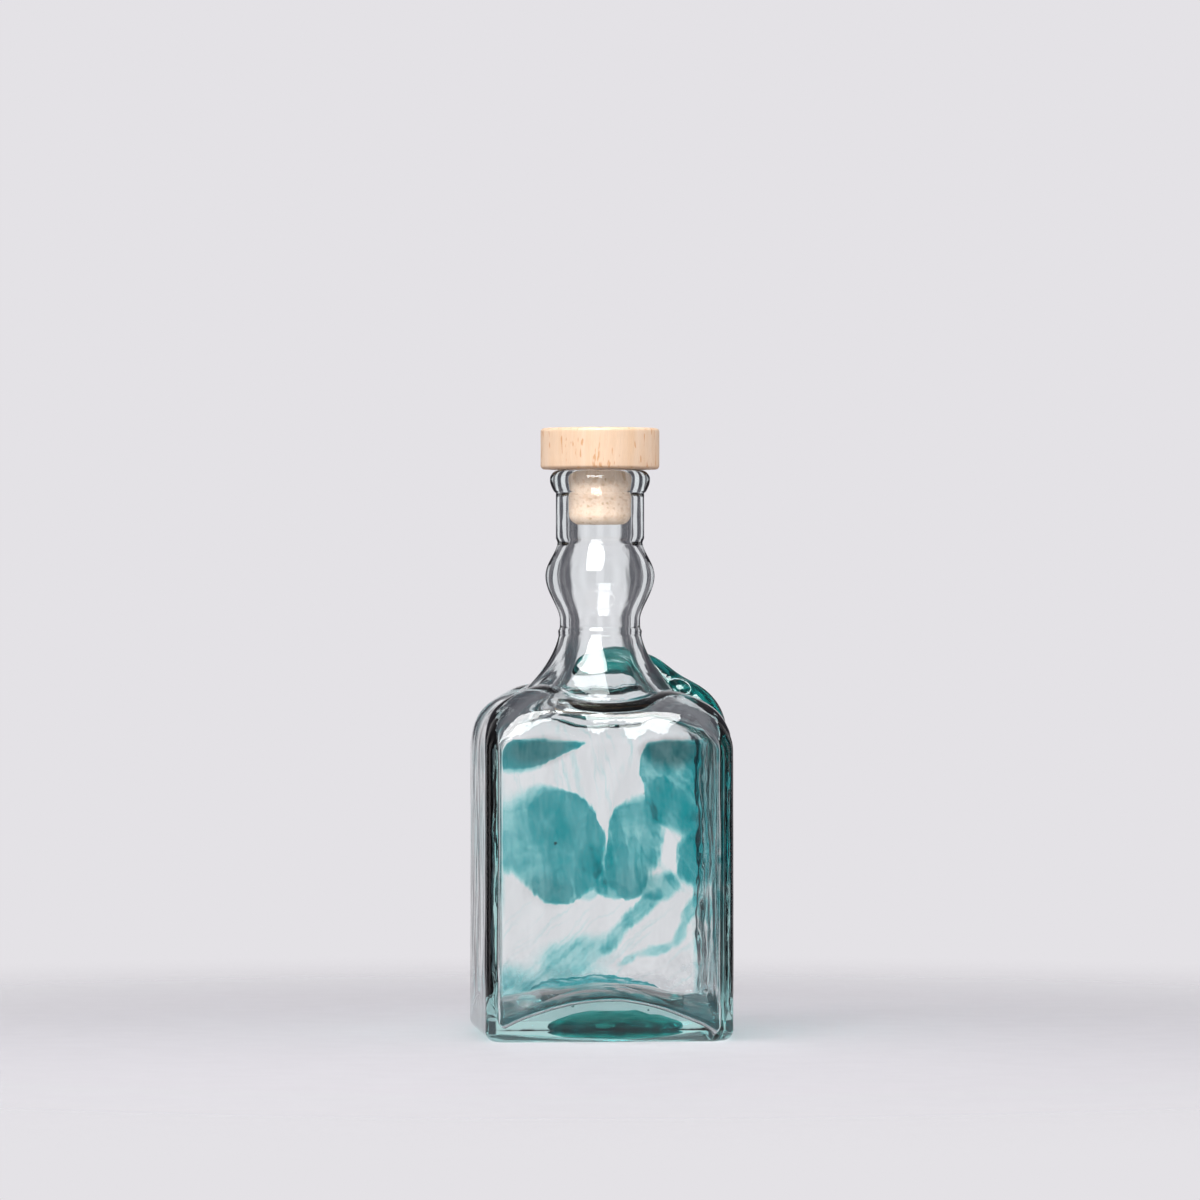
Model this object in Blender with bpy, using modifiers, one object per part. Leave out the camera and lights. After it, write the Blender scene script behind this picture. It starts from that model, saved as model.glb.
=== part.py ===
"""Hand-blown square glass bottle with a turned neck, turquoise colour and a wood-topped cork.

Every length is in metres. The bottle stands on z = 0 with its neck along +Z, and its front
face looks along -Y. The colour is turquoise glass let into the back wall and the base, with a
thick trail of the same glass laid round the neck and down the right shoulder.
"""

import math
from dataclasses import dataclass

import bmesh
import bpy
from mathutils import Matrix, Vector

COLLECTION = "corked_glass_bottle"
CUTTERS = "cutters"

# Clearance kept between two pieces that touch.
TOUCH_GAP = 0.0003

# Square body: width over the flats, its upright corners, the turned-under foot and the wall.
BODY_WIDTH = 0.0910
CORNER_RADIUS = 0.0055
INNER_CORNER_RADIUS = 0.0022
FOOT_RADIUS = 0.0045
WALL = 0.0050

# Shoulder: where the straight wall ends, how far it rises and how much the corners puff up.
WALL_TOP = 0.1060
SHOULDER_RISE = 0.0183
SHOULDER_WALL = 0.0050
LEFT_CORNER_LIFT = 0.0057
RIGHT_CORNER_LIFT = 0.0036
LIFT_POWER = 4

# Neck: each bore and the wall round it, at the flare's foot, the waist and the bulb.
FLARE_FOOT_BORE = 0.0287
FLARE_FOOT_WALL = 0.0033
FLARE_RISE = 0.0277
FLARE_POWER = 1.9
WAIST_BORE = 0.0112
WAIST_WALL = 0.0037
WAIST_HEIGHT = 0.0020
BULB_BORE = 0.0156
BULB_WALL = 0.0047
BULB_RISE = 0.0160
BULB_FALL = 0.0122
BULB_POWER = 0.8

# Tool mark: a fine raised ring just under the waist.
TOOL_MARK_DROP = 0.0024
TOOL_MARK_REACH = 0.0013
TOOL_MARK_HEIGHT = 0.0004

# Straight neck round the cork, and the groove between it and the bulb.
NECK_WALL = 0.00435
NECK_BELOW_CORK = 0.0051
BORE_BELOW_CORK = 0.0055
GROOVE_DEPTH = 0.0006
GROOVE_RISE = 0.0016

# Lip: a rolled collar that starts with a small step.
LIP_STEP = 0.0006
LIP_OVERHANG = 0.0022
LIP_LOWER_RISE = 0.0050
LIP_UPPER_RISE = 0.0034
MOUTH_ROUNDING = 0.0010

# Floor inside: pushed up in the middle and running deep into the corners.
FLOOR_CENTRE = 0.0186
FLOOR_AT_FACE = 0.0146
FLOOR_AT_LEFT_CORNER = 0.0050
FLOOR_AT_RIGHT_CORNER = 0.0032
FLOOR_FILLET = 0.0022
FLOOR_ARCH_POWER = 2

# Stopper: turned beech head, and a cork shank glued into the recess under it.
HEAD_DIAMETER = 0.0440
HEAD_THICKNESS = 0.0156
HEAD_EDGE_RADIUS = 0.0014
HEAD_CROWN = 0.0003
HEAD_RECESS_DEPTH = 0.0040
SHANK_DIAMETER = 0.0235
SHANK_LENGTH = 0.0204
SHANK_END_RADIUS = 0.0040
SHANK_TAPER = 0.0002
GLUE_THICKNESS = 0.0006

# Turquoise glass let into the back wall, and into the shallow hollow under the base.
INLAY_THICKNESS = 0.0018
INLAY_MARGIN = 0.0020
PUNT_DEPTH = 0.0010
POOL_HEIGHT = 0.0100
POOL_RIM = 0.0026
POOL_SHIFT = 0.0040
STANDING_RIM = 0.0100

# Trail: thickness of its bead, and the eye where it is folded back. The eye lies after one of
# the trail's points, a share of the way to the next, and leans to the front.
TRAIL_RADIUS = 0.0058
EYE_AFTER = 6
EYE_SHARE = 0.2
EYE_RADIUS = 0.0037
EYE_BEAD = 0.0014
EYE_LEAN = 1.6

# Mesh fineness: spans round an eighth of the skin, and rings along each stretch of it.
FACE_SPANS = 4
CORNER_SPANS = 2
FOOT_RINGS = 3
WALL_RINGS = 3
SHOULDER_RINGS = 7
FLARE_RINGS = 5
BULB_RINGS = 6
LIP_RINGS = 4
FLOOR_RINGS = 4
DOME_RINGS = 5
ARC_STEPS = 4
TURN_STEPS = 48
WELD = 0.00001
SHARP_ANGLE = math.radians(35)

# Sizes and heights that follow from the ones above.
BODY_HALF = BODY_WIDTH / 2
SHANK_RADIUS = SHANK_DIAMETER / 2
BORE_RADIUS = SHANK_RADIUS + TOUCH_GAP
FLARE_FOOT_RADIUS = FLARE_FOOT_BORE + FLARE_FOOT_WALL
WAIST_RADIUS = WAIST_BORE + WAIST_WALL
BULB_RADIUS = BULB_BORE + BULB_WALL
NECK_RADIUS = BORE_RADIUS + NECK_WALL
GROOVE_RADIUS = NECK_RADIUS - GROOVE_DEPTH
LIP_STEP_RADIUS = NECK_RADIUS + LIP_STEP
LIP_RADIUS = NECK_RADIUS + LIP_OVERHANG
LIP_HEIGHT = LIP_LOWER_RISE + LIP_UPPER_RISE
NECK_LENGTH = SHANK_LENGTH - TOUCH_GAP - LIP_HEIGHT + NECK_BELOW_CORK
CREASE_Z = WALL_TOP + SHOULDER_RISE
WAIST_Z = CREASE_Z + FLARE_RISE
BULB_FOOT_Z = WAIST_Z + WAIST_HEIGHT
BULB_Z = BULB_FOOT_Z + BULB_RISE
GROOVE_Z = BULB_Z + BULB_FALL
NECK_FOOT_Z = GROOVE_Z + GROOVE_RISE
LIP_FOOT_Z = NECK_FOOT_Z + NECK_LENGTH
LIP_WIDEST_Z = LIP_FOOT_Z + LIP_LOWER_RISE
LIP_TOP_Z = LIP_WIDEST_Z + LIP_UPPER_RISE

# The stopper's head rests on the lip and its shank hangs in the bore.
HEAD_BOTTOM_Z = LIP_TOP_Z + TOUCH_GAP
SHANK_BOTTOM_Z = HEAD_BOTTOM_Z - SHANK_LENGTH
BORE_FOOT_Z = SHANK_BOTTOM_Z - BORE_BELOW_CORK
RECESS_TOP_Z = HEAD_BOTTOM_Z + HEAD_RECESS_DEPTH
GLUE_TOP_Z = RECESS_TOP_Z - TOUCH_GAP
GLUE_BOTTOM_Z = GLUE_TOP_Z - GLUE_THICKNESS
SHANK_TOP_Z = GLUE_BOTTOM_Z - TOUCH_GAP

# The pool of colour leaves a flat rim to stand on between itself and the turned-under foot.
POOL_RADIUS = BODY_HALF - FOOT_RADIUS - STANDING_RIM - POOL_SHIFT

# Turquoise patches on the flat panel of the back wall, seen from the front. Each point is a
# share of the panel's half width and of its height.
INLAY_OUTLINES = {
    "colour_cloud_left": [
        (0.12, 0.51), (0.16, 0.65), (0.08, 0.78), (-0.16, 0.86), (-0.48, 0.85), (-0.78, 0.82),
        (-1.00, 0.76), (-1.00, 0.62), (-0.78, 0.54), (-0.54, 0.45), (-0.24, 0.42), (0.00, 0.45),
    ],
    "colour_cloud_right": [
        (0.27, 0.48), (0.20, 0.60), (0.26, 0.73), (0.43, 0.80), (0.40, 0.93), (0.56, 1.00),
        (0.83, 1.00), (1.00, 0.91), (1.00, 0.74), (1.00, 0.56), (0.80, 0.49), (0.56, 0.46),
    ],
    "colour_band_upper": [
        (0.00, 1.00), (-0.20, 0.98), (-0.45, 0.92), (-0.75, 0.89), (-1.00, 0.88), (-1.00, 0.96),
        (-0.85, 1.00), (-0.50, 1.00),
    ],
    "colour_streak_lower": [
        (-0.48, 0.18), (-0.11, 0.19), (0.29, 0.22), (0.60, 0.31), (0.94, 0.42), (0.88, 0.46),
        (0.53, 0.40), (0.21, 0.33), (-0.16, 0.29), (-0.48, 0.25),
    ],
}

@dataclass(frozen=True)
class Station:
    """One ring of the bottle's skin: a rounded square, or a circle where corner equals half.

    Its lift rises in the corners alone, or along the whole of each face where it is arched.
    """

    half: float
    corner: float
    z: float
    left_lift: float = 0.0
    right_lift: float = 0.0
    arched: bool = False


@dataclass(frozen=True)
class TrailPoint:
    """One point of the trail: direction in degrees, place on the skin, and shares of its bead."""

    azimuth: float
    place: float
    bead: float
    height: float


# The trail starts behind the neck, crosses the right shoulder and runs down the right wall.
TRAIL_POINTS = [
    TrailPoint(119, 1.27, 0.20, -0.03),
    TrailPoint(115, 1.28, 0.62, 0.10),
    TrailPoint(102, 1.31, 0.86, 0.24),
    TrailPoint(82, 1.36, 0.98, 0.38),
    TrailPoint(61, 1.37, 1.00, 0.41),
    TrailPoint(43, 1.26, 1.00, 0.40),
    TrailPoint(28, 1.06, 1.00, 0.13),
    TrailPoint(16, 0.79, 0.95, 0.17),
    TrailPoint(10, 0.49, 0.86, 0.00),
    TrailPoint(7, 0.22, 0.74, -0.13),
    TrailPoint(5, -0.02, 0.57, -0.28),
    TrailPoint(4, -0.08, 0.24, -0.17),
]


def circle(radius, z):
    """A round station."""
    return Station(radius, radius, z)


def ring_angles():
    """Directions round the bottle, closer together across its upright corners."""
    corner_start = math.atan2(BODY_HALF - CORNER_RADIUS, BODY_HALF)
    eighth = [corner_start * i / FACE_SPANS for i in range(FACE_SPANS)]
    left_over = math.pi / 4 - corner_start
    eighth += [corner_start + left_over * i / CORNER_SPANS for i in range(CORNER_SPANS)]
    quarter = eighth + [math.pi / 4] + [math.pi / 2 - a for a in reversed(eighth[1:])]
    return [a + turn * math.pi / 2 for turn in range(4) for a in quarter]


def angle_off_face(angle):
    """Angle between a direction and the middle of the nearest face."""
    return abs((angle + math.pi / 4) % (math.pi / 2) - math.pi / 4)


def skin_radius(station, angle):
    """Distance from the axis to a rounded square in the given direction."""
    off_face = angle_off_face(angle)
    straight = station.half - station.corner
    if math.tan(off_face) * station.half <= straight:
        return station.half / math.cos(off_face)
    both = straight * (math.cos(off_face) + math.sin(off_face))
    return both + math.sqrt(max(both * both - 2 * straight**2 + station.corner**2, 0.0))


def skin_point(station, angle):
    """Point of a station in the given direction, with its corner lift."""
    radius = skin_radius(station, angle)
    lift = station.right_lift if math.cos(angle) > 0 else station.left_lift
    if station.arched:
        rise = lift * math.tan(angle_off_face(angle)) ** FLOOR_ARCH_POWER
    else:
        rise = lift * abs(math.sin(2 * angle)) ** LIFT_POWER
    return Vector((radius * math.cos(angle), radius * math.sin(angle), station.z + rise))


def shoulder_station(turn, inner=False):
    """Station on the shoulder, from the wall's top (turn 0) to the flare's foot (turn 1)."""
    wide = BODY_HALF - (WALL if inner else 0.0)
    foot = FLARE_FOOT_BORE if inner else FLARE_FOOT_RADIUS
    upright = INNER_CORNER_RADIUS if inner else CORNER_RADIUS
    rise = SHOULDER_RISE - (SHOULDER_WALL if inner else 0.0)
    across = math.cos(turn * math.pi / 2)
    up = math.sin(turn * math.pi / 2)
    return Station(
        foot + (wide - foot) * across,
        upright + (foot - upright) * up**1.5,
        WALL_TOP + rise * up,
        LEFT_CORNER_LIFT * up,
        RIGHT_CORNER_LIFT * up,
    )


def flare_station(climb, inner=False):
    """Station on the neck's flare, from its foot (climb 0) to the waist (climb 1)."""
    foot = FLARE_FOOT_BORE if inner else FLARE_FOOT_RADIUS
    waist = WAIST_BORE if inner else WAIST_RADIUS
    foot_z = CREASE_Z - (SHOULDER_WALL if inner else 0.0)
    left = 1.0 - climb
    radius = waist + (foot - waist) * left**FLARE_POWER
    return Station(
        radius,
        radius,
        foot_z + (WAIST_Z - foot_z) * climb,
        LEFT_CORNER_LIFT * left**2,
        RIGHT_CORNER_LIFT * left**2,
    )


def skin_place(place):
    """Outer station by one number: below 0 on the wall, 0 to 1 shoulder, 1 to 2 flare."""
    if place > 1.0:
        return flare_station(place - 1.0)
    if place > 0.0:
        return shoulder_station(place)
    return Station(BODY_HALF, CORNER_RADIUS, WALL_TOP * (1.0 + place))


def swell(small, large, share):
    """Radius on the way from a waist to a bulb."""
    return small + (large - small) * (0.5 - 0.5 * math.cos(math.pi * share)) ** BULB_POWER


def spread(count):
    """Even shares from just above 0 up to 1."""
    return [(i + 1) / count for i in range(count)]


def foot_and_wall():
    """Stations of the turned-under foot and of the straight wall."""
    rows = []
    for share in [0.0] + spread(FOOT_RINGS):
        turn = share * math.pi / 2
        half = BODY_HALF - FOOT_RADIUS * (1.0 - math.sin(turn))
        corner = CORNER_RADIUS * half / BODY_HALF
        rows.append(Station(half, corner, FOOT_RADIUS * (1.0 - math.cos(turn))))
    for share in spread(WALL_RINGS):
        z = FOOT_RADIUS + (WALL_TOP - FOOT_RADIUS) * share
        rows.append(Station(BODY_HALF, CORNER_RADIUS, z))
    return rows


def outer_flare():
    """Stations of the flare, with the tool mark just under the waist."""
    mark_climb = (FLARE_RISE - TOOL_MARK_DROP) / FLARE_RISE
    reach = TOOL_MARK_REACH / FLARE_RISE
    rows = [flare_station((mark_climb - reach) * share) for share in spread(FLARE_RINGS)]
    mark = flare_station(mark_climb)
    rows.append(circle(mark.half + TOOL_MARK_HEIGHT, mark.z))
    rows.append(flare_station(mark_climb + reach))
    return rows


def outer_bulb():
    """Stations of the bulb, from the waist to the groove above it."""
    rows = [circle(WAIST_RADIUS, BULB_FOOT_Z)]
    for share in spread(BULB_RINGS):
        radius = swell(WAIST_RADIUS, BULB_RADIUS, share)
        rows.append(circle(radius, BULB_FOOT_Z + BULB_RISE * share))
    for share in spread(BULB_RINGS):
        radius = swell(GROOVE_RADIUS, BULB_RADIUS, 1.0 - share)
        rows.append(circle(radius, BULB_Z + BULB_FALL * share))
    return rows


def lip():
    """Stations of the rolled lip, from its step to its top."""
    step_z = LIP_FOOT_Z + LIP_STEP / 2
    rows = [circle(LIP_STEP_RADIUS, step_z)]
    for share in spread(LIP_RINGS):
        swing = math.sin(share * math.pi / 2)
        radius = LIP_STEP_RADIUS + (LIP_RADIUS - LIP_STEP_RADIUS) * swing
        rows.append(circle(radius, step_z + (LIP_WIDEST_Z - step_z) * share))
    for share in spread(LIP_RINGS):
        turn = share * math.pi / 2
        radius = LIP_RADIUS - LIP_UPPER_RISE * (1.0 - math.cos(turn))
        rows.append(circle(radius, LIP_WIDEST_Z + LIP_UPPER_RISE * math.sin(turn)))
    return rows


def outer_stations():
    """Outside of the bottle from the standing face to the top of the lip."""
    rows = foot_and_wall()
    rows += [shoulder_station(share) for share in spread(SHOULDER_RINGS)]
    rows += outer_flare()
    rows += outer_bulb()
    rows += [circle(NECK_RADIUS, NECK_FOOT_Z), circle(NECK_RADIUS, LIP_FOOT_Z)]
    rows += lip()
    return rows


def bore_stations():
    """Stations inside the neck, from the rounded mouth down to the waist."""
    rows = []
    for share in [0.0] + spread(2):
        turn = share * math.pi / 2
        radius = BORE_RADIUS + MOUTH_ROUNDING * (1.0 - math.sin(turn))
        rows.append(circle(radius, LIP_TOP_Z - MOUTH_ROUNDING * (1.0 - math.cos(turn))))
    rows.append(circle(BORE_RADIUS, BORE_FOOT_Z))
    for share in spread(BULB_RINGS - 2):
        radius = swell(BORE_RADIUS, BULB_BORE, share)
        rows.append(circle(radius, BORE_FOOT_Z + (BULB_Z - BORE_FOOT_Z) * share))
    for share in spread(BULB_RINGS - 2):
        rows.append(circle(swell(WAIST_BORE, BULB_BORE, 1.0 - share), BULB_Z - BULB_RISE * share))
    return rows


def floor_stations():
    """Stations of the inner wall and of the pushed-up floor, to near its middle."""
    half = BODY_HALF - WALL
    corner = INNER_CORNER_RADIUS
    left_drop = FLOOR_AT_LEFT_CORNER - FLOOR_AT_FACE
    right_drop = FLOOR_AT_RIGHT_CORNER - FLOOR_AT_FACE
    bend_z = FLOOR_AT_FACE + FLOOR_FILLET
    rows = []
    for share in spread(WALL_RINGS):
        z = WALL_TOP + (bend_z - WALL_TOP) * share
        rows.append(Station(half, corner, z, left_drop * share**3, right_drop * share**3, True))
    for share in spread(2):
        turn = share * math.pi * 2 / 5
        inset = FLOOR_FILLET * (1.0 - math.cos(turn))
        z = bend_z - FLOOR_FILLET * math.sin(turn)
        rows.append(Station(half - inset, corner, z, left_drop, right_drop, True))
    edge = half - FLOOR_FILLET
    for share in reversed(spread(FLOOR_RINGS)):
        dip = share**2
        z = FLOOR_CENTRE - (FLOOR_CENTRE - FLOOR_AT_FACE) * dip
        rows.append(Station(edge * share, corner * share, z, left_drop * dip, right_drop * dip, True))
    return rows


def inner_stations():
    """Inside of the bottle from the mouth down to the floor."""
    rows = bore_stations()
    inner_flare = [flare_station(1.0 - share, inner=True) for share in spread(FLARE_RINGS + 1)]
    inner_shoulder = [shoulder_station(1.0 - share, inner=True) for share in spread(SHOULDER_RINGS - 1)]
    return rows + inner_flare + inner_shoulder + floor_stations()


def collection(name):
    """A new collection linked to the scene."""
    made = bpy.data.collections.new(name)
    bpy.context.scene.collection.children.link(made)
    return made


def material(name, colour, roughness, transmission=0.0, ior=1.5):
    """A Principled material in a linear colour."""
    made = bpy.data.materials.new(name)
    made.use_nodes = True
    shader = made.node_tree.nodes["Principled BSDF"]
    shader.inputs["Base Color"].default_value = (*colour, 1.0)
    shader.inputs["Roughness"].default_value = roughness
    shader.inputs["Metallic"].default_value = 0.0
    shader.inputs["Transmission Weight"].default_value = transmission
    shader.inputs["IOR"].default_value = ior
    made.diffuse_color = (*colour, 1.0)
    return made


def add_object(name, mesh, where, finish=None):
    """An object for a mesh, linked to one collection, smooth but for its sharp edges."""
    made = bpy.data.objects.new(name, mesh)
    where.objects.link(made)
    if finish:
        mesh.materials.clear()
        mesh.materials.append(finish)
    mesh.shade_smooth()
    mesh.set_sharp_from_angle(angle=SHARP_ANGLE)
    return made


def hide_cutter(cutter):
    """Show a cutter as wire and keep it out of renders."""
    cutter.hide_render = True
    cutter.display_type = "WIRE"


def cut(target, cutter, operation="DIFFERENCE"):
    """A live Boolean between two closed meshes."""
    modifier = target.modifiers.new(operation.title(), "BOOLEAN")
    modifier.operation = operation
    modifier.solver = "EXACT"
    modifier.object = cutter


def loft(name, stations, last_centre_z, grow=0.0):
    """Close a row of stations into one skin, with a fan of faces over the first and the last."""
    mesh = bpy.data.meshes.new(name)
    work = bmesh.new()
    angles = ring_angles()
    count = len(angles)
    rings = []
    for station in stations:
        half, corner, z = station.half + grow, station.corner + grow, station.z + grow
        grown = Station(half, corner, z, station.left_lift, station.right_lift)
        rings.append([work.verts.new(skin_point(grown, angle)) for angle in angles])
    for low, high in zip(rings, rings[1:]):
        for i in range(count):
            j = (i + 1) % count
            work.faces.new((low[i], low[j], high[j], high[i]))
    first_hub = work.verts.new((0.0, 0.0, stations[0].z + grow))
    last_hub = work.verts.new((0.0, 0.0, last_centre_z + grow))
    for i in range(count):
        j = (i + 1) % count
        work.faces.new((first_hub, rings[0][j], rings[0][i]))
        work.faces.new((last_hub, rings[-1][i], rings[-1][j]))
    bmesh.ops.triangulate(work, faces=[face for face in work.faces if len(face.verts) > 3])
    work.to_mesh(mesh)
    work.free()
    return mesh


def turned(name, profile, where, finish=None):
    """A turned piece: its profile, top to bottom on the outer side, with a Screw modifier."""
    mesh = bpy.data.meshes.new(name)
    work = bmesh.new()
    verts = [work.verts.new((x, 0.0, z)) for x, z in profile]
    for first, second in zip(verts, verts[1:]):
        work.edges.new((first, second))
    work.to_mesh(mesh)
    work.free()
    made = add_object(name, mesh, where, finish)
    screw = made.modifiers.new("Turn", "SCREW")
    screw.steps = TURN_STEPS
    screw.render_steps = TURN_STEPS
    screw.use_merge_vertices = True
    screw.merge_threshold = WELD
    screw.use_smooth_shade = True
    return made


def rounded(centre_x, centre_z, radius, start, end):
    """Points of an arc in a profile, with its angles in degrees."""
    points = []
    for i in range(ARC_STEPS + 1):
        angle = math.radians(start + (end - start) * i / ARC_STEPS)
        points.append((centre_x + radius * math.cos(angle), centre_z + radius * math.sin(angle)))
    return points


def curve_to_mesh(source, where, name, finish=None):
    """Turn a curve object into a welded mesh object and drop the curve."""
    bpy.context.view_layer.update()
    graph = bpy.context.evaluated_depsgraph_get()
    mesh = bpy.data.meshes.new_from_object(source.evaluated_get(graph))
    work = bmesh.new()
    work.from_mesh(mesh)
    bmesh.ops.remove_doubles(work, verts=work.verts, dist=WELD)
    bmesh.ops.recalc_face_normals(work, faces=work.faces)
    work.to_mesh(mesh)
    work.free()
    matrix = source.matrix_world.copy()
    bpy.data.objects.remove(source)
    made = add_object(name, mesh, where, finish)
    made.matrix_world = matrix
    return made


def outline_solid(name, outline, thickness, back_y, where, finish=None, grow=0.0):
    """A flat solid standing in the XZ plane whose outer face lies at back_y."""
    curve = bpy.data.curves.new(name, "CURVE")
    curve.dimensions = "2D"
    curve.fill_mode = "BOTH"
    curve.extrude = thickness / 2
    curve.offset = grow
    curve.resolution_u = 3
    spline = curve.splines.new("NURBS")
    spline.points.add(len(outline) - 1)
    for point, (x, z) in zip(spline.points, outline):
        point.co = (x, z, 0.0, 1.0)
    spline.order_u = 3
    spline.use_cyclic_u = True
    source = bpy.data.objects.new(name + "_outline", curve)
    where.objects.link(source)
    source.rotation_euler = (math.pi / 2, 0.0, 0.0)
    source.location = (0.0, back_y - thickness / 2, 0.0)
    return curve_to_mesh(source, where, name, finish)


def panel_outline(shares):
    """Points on the back wall's flat panel, as x and z, from shares of the panel."""
    half_width = BODY_HALF - CORNER_RADIUS - INLAY_MARGIN - 2 * TOUCH_GAP
    bottom = FOOT_RADIUS + 2 * TOUCH_GAP
    top = WALL_TOP - 2 * TOUCH_GAP
    return [(half_width * across, bottom + (top - bottom) * up) for across, up in shares]


def joined(name, pieces, where):
    """One object from several that lie apart, in place of them."""
    mesh = bpy.data.meshes.new(name)
    work = bmesh.new()
    bpy.context.view_layer.update()
    for piece in pieces:
        held = piece.data.copy()
        held.transform(piece.matrix_world)
        work.from_mesh(held)
        bpy.data.meshes.remove(held)
        bpy.data.objects.remove(piece)
    work.to_mesh(mesh)
    work.free()
    return add_object(name, mesh, where)


def build_inlays(parts, cutters, body, finishes):
    """Turquoise patches flush with the back wall, each in its own pocket."""
    pocket_depth = INLAY_THICKNESS + TOUCH_GAP
    pockets = []
    for name, shares in INLAY_OUTLINES.items():
        outline = panel_outline(shares)
        outline_solid(name, outline, INLAY_THICKNESS, BODY_HALF, parts, finishes[name])
        pocket_name = name + "_pocket"
        back_y = BODY_HALF + pocket_depth
        pockets.append(
            outline_solid(pocket_name, outline, 2 * pocket_depth, back_y, cutters, grow=TOUCH_GAP)
        )
    pocket = joined("wall_pockets", pockets, cutters)
    hide_cutter(pocket)
    cut(body, pocket)


def disc(name, radius, bottom, top, x, where, finish=None):
    """An upright cylinder between two heights."""
    mesh = bpy.data.meshes.new(name)
    work = bmesh.new()
    bmesh.ops.create_cone(
        work, cap_ends=True, segments=TURN_STEPS, radius1=radius, radius2=radius, depth=top - bottom
    )
    work.to_mesh(mesh)
    work.free()
    made = add_object(name, mesh, where, finish)
    made.location = (x, 0.0, (top + bottom) / 2)
    return made


def pool_profile(bottom, gap=0.0):
    """Half outline of the base's domed pool, top to bottom, grown by a gap."""
    radius = POOL_RADIUS + gap
    rim_z = PUNT_DEPTH + POOL_RIM + gap
    dome_rise = POOL_HEIGHT - POOL_RIM
    profile = [(0.0, rim_z + dome_rise)]
    for share in spread(DOME_RINGS):
        turn = share * math.pi / 2
        profile.append((radius * math.sin(turn), rim_z + dome_rise * math.cos(turn)))
    return profile + [(radius, bottom), (0.0, bottom)]


def build_base_colour(parts, cutters, body, finish):
    """Turquoise dome let into the underside, clear of the table."""
    pool = turned("colour_pool_base", pool_profile(PUNT_DEPTH), parts, finish)
    pocket = turned("base_pocket", pool_profile(-PUNT_DEPTH, TOUCH_GAP), cutters)
    hide_cutter(pocket)
    for piece in (pool, pocket):
        piece.location.x = POOL_SHIFT
    cut(body, pocket)


def skin_normal(place, angle):
    """Outward direction of the bottle's outer skin, from two short steps along it."""
    small = 0.01
    here = skin_point(skin_place(place), angle)
    along = skin_point(skin_place(place + small), angle) - here
    around = skin_point(skin_place(place), angle + small) - here
    return around.cross(along).normalized()


def trail_axis(point):
    """Centre of the trail at one of its points."""
    angle = math.radians(point.azimuth)
    rise = skin_normal(point.place, angle) * point.height * TRAIL_RADIUS
    return skin_point(skin_place(point.place), angle) + rise


def build_trail(parts, cutters, finish):
    """Thick turquoise trail with a folded eye, cut to sit on the bottle's skin."""
    curve = bpy.data.curves.new("shoulder_trail", "CURVE")
    curve.dimensions = "3D"
    curve.bevel_depth = TRAIL_RADIUS
    curve.bevel_resolution = 4
    curve.use_fill_caps = True
    curve.resolution_u = 3
    spline = curve.splines.new("NURBS")
    spline.points.add(len(TRAIL_POINTS) - 1)
    for knot, point in zip(spline.points, TRAIL_POINTS):
        knot.co = (*trail_axis(point), 1.0)
        knot.radius = point.bead
    spline.order_u = 4
    spline.use_endpoint_u = True
    source = bpy.data.objects.new("trail_path", curve)
    parts.objects.link(source)
    trail = curve_to_mesh(source, parts, "shoulder_trail", finish)
    eye = trail_eye(cutters)
    cut(trail, eye, "UNION")
    seat = add_object("trail_seat", loft("trail_seat", outer_stations(), LIP_TOP_Z, TOUCH_GAP), cutters)
    hide_cutter(seat)
    cut(trail, seat)
    return trail


def trail_eye(cutters):
    """The folded eye as a ring lying on the trail's front flank."""
    first, second = TRAIL_POINTS[EYE_AFTER], TRAIL_POINTS[EYE_AFTER + 1]
    middle = trail_axis(first).lerp(trail_axis(second), EYE_SHARE)
    upward = skin_normal(second.place, math.radians(second.azimuth))
    outward = (upward + Vector((0.0, -EYE_LEAN, 0.0))).normalized()
    centre = middle + outward * TRAIL_RADIUS * (first.bead + second.bead) / 2
    bpy.ops.mesh.primitive_torus_add(
        major_radius=EYE_RADIUS, minor_radius=EYE_BEAD, major_segments=24, minor_segments=8
    )
    eye = bpy.context.object
    eye.name = "trail_eye"
    eye.matrix_world = Matrix.Translation(centre) @ outward.to_track_quat("Z", "Y").to_matrix().to_4x4()
    for owner in list(eye.users_collection):
        owner.objects.unlink(eye)
    cutters.objects.link(eye)
    hide_cutter(eye)
    return eye


def build_head(parts, finish):
    """Turned beech disc with eased edges and a recess for the cork."""
    radius = HEAD_DIAMETER / 2
    top = HEAD_BOTTOM_Z + HEAD_THICKNESS
    recess = SHANK_RADIUS + TOUCH_GAP
    rim_x = radius - HEAD_EDGE_RADIUS
    profile = [(0.0, top), (rim_x / 2, top - HEAD_CROWN / 4)]
    upper_z = top - HEAD_CROWN - HEAD_EDGE_RADIUS
    profile += rounded(rim_x, upper_z, HEAD_EDGE_RADIUS, 90, 0)
    profile += rounded(rim_x, HEAD_BOTTOM_Z + HEAD_EDGE_RADIUS, HEAD_EDGE_RADIUS, 0, -90)
    profile.append((recess, HEAD_BOTTOM_Z))
    profile.append((recess, RECESS_TOP_Z))
    profile.append((0.0, RECESS_TOP_Z))
    return turned("stopper_head", profile, parts, finish)


def build_shank(parts, finish):
    """Cork shank, slightly tapered, with a rounded lower end."""
    end_radius = SHANK_RADIUS - SHANK_TAPER
    profile = [(0.0, SHANK_TOP_Z), (SHANK_RADIUS, SHANK_TOP_Z)]
    profile.append((SHANK_RADIUS, (SHANK_TOP_Z + SHANK_BOTTOM_Z) / 2))
    centre_x = end_radius - SHANK_END_RADIUS
    profile += rounded(centre_x, SHANK_BOTTOM_Z + SHANK_END_RADIUS, SHANK_END_RADIUS, 0, -90)
    profile.append((0.0, SHANK_BOTTOM_Z))
    return turned("stopper_cork", profile, parts, finish)


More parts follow.
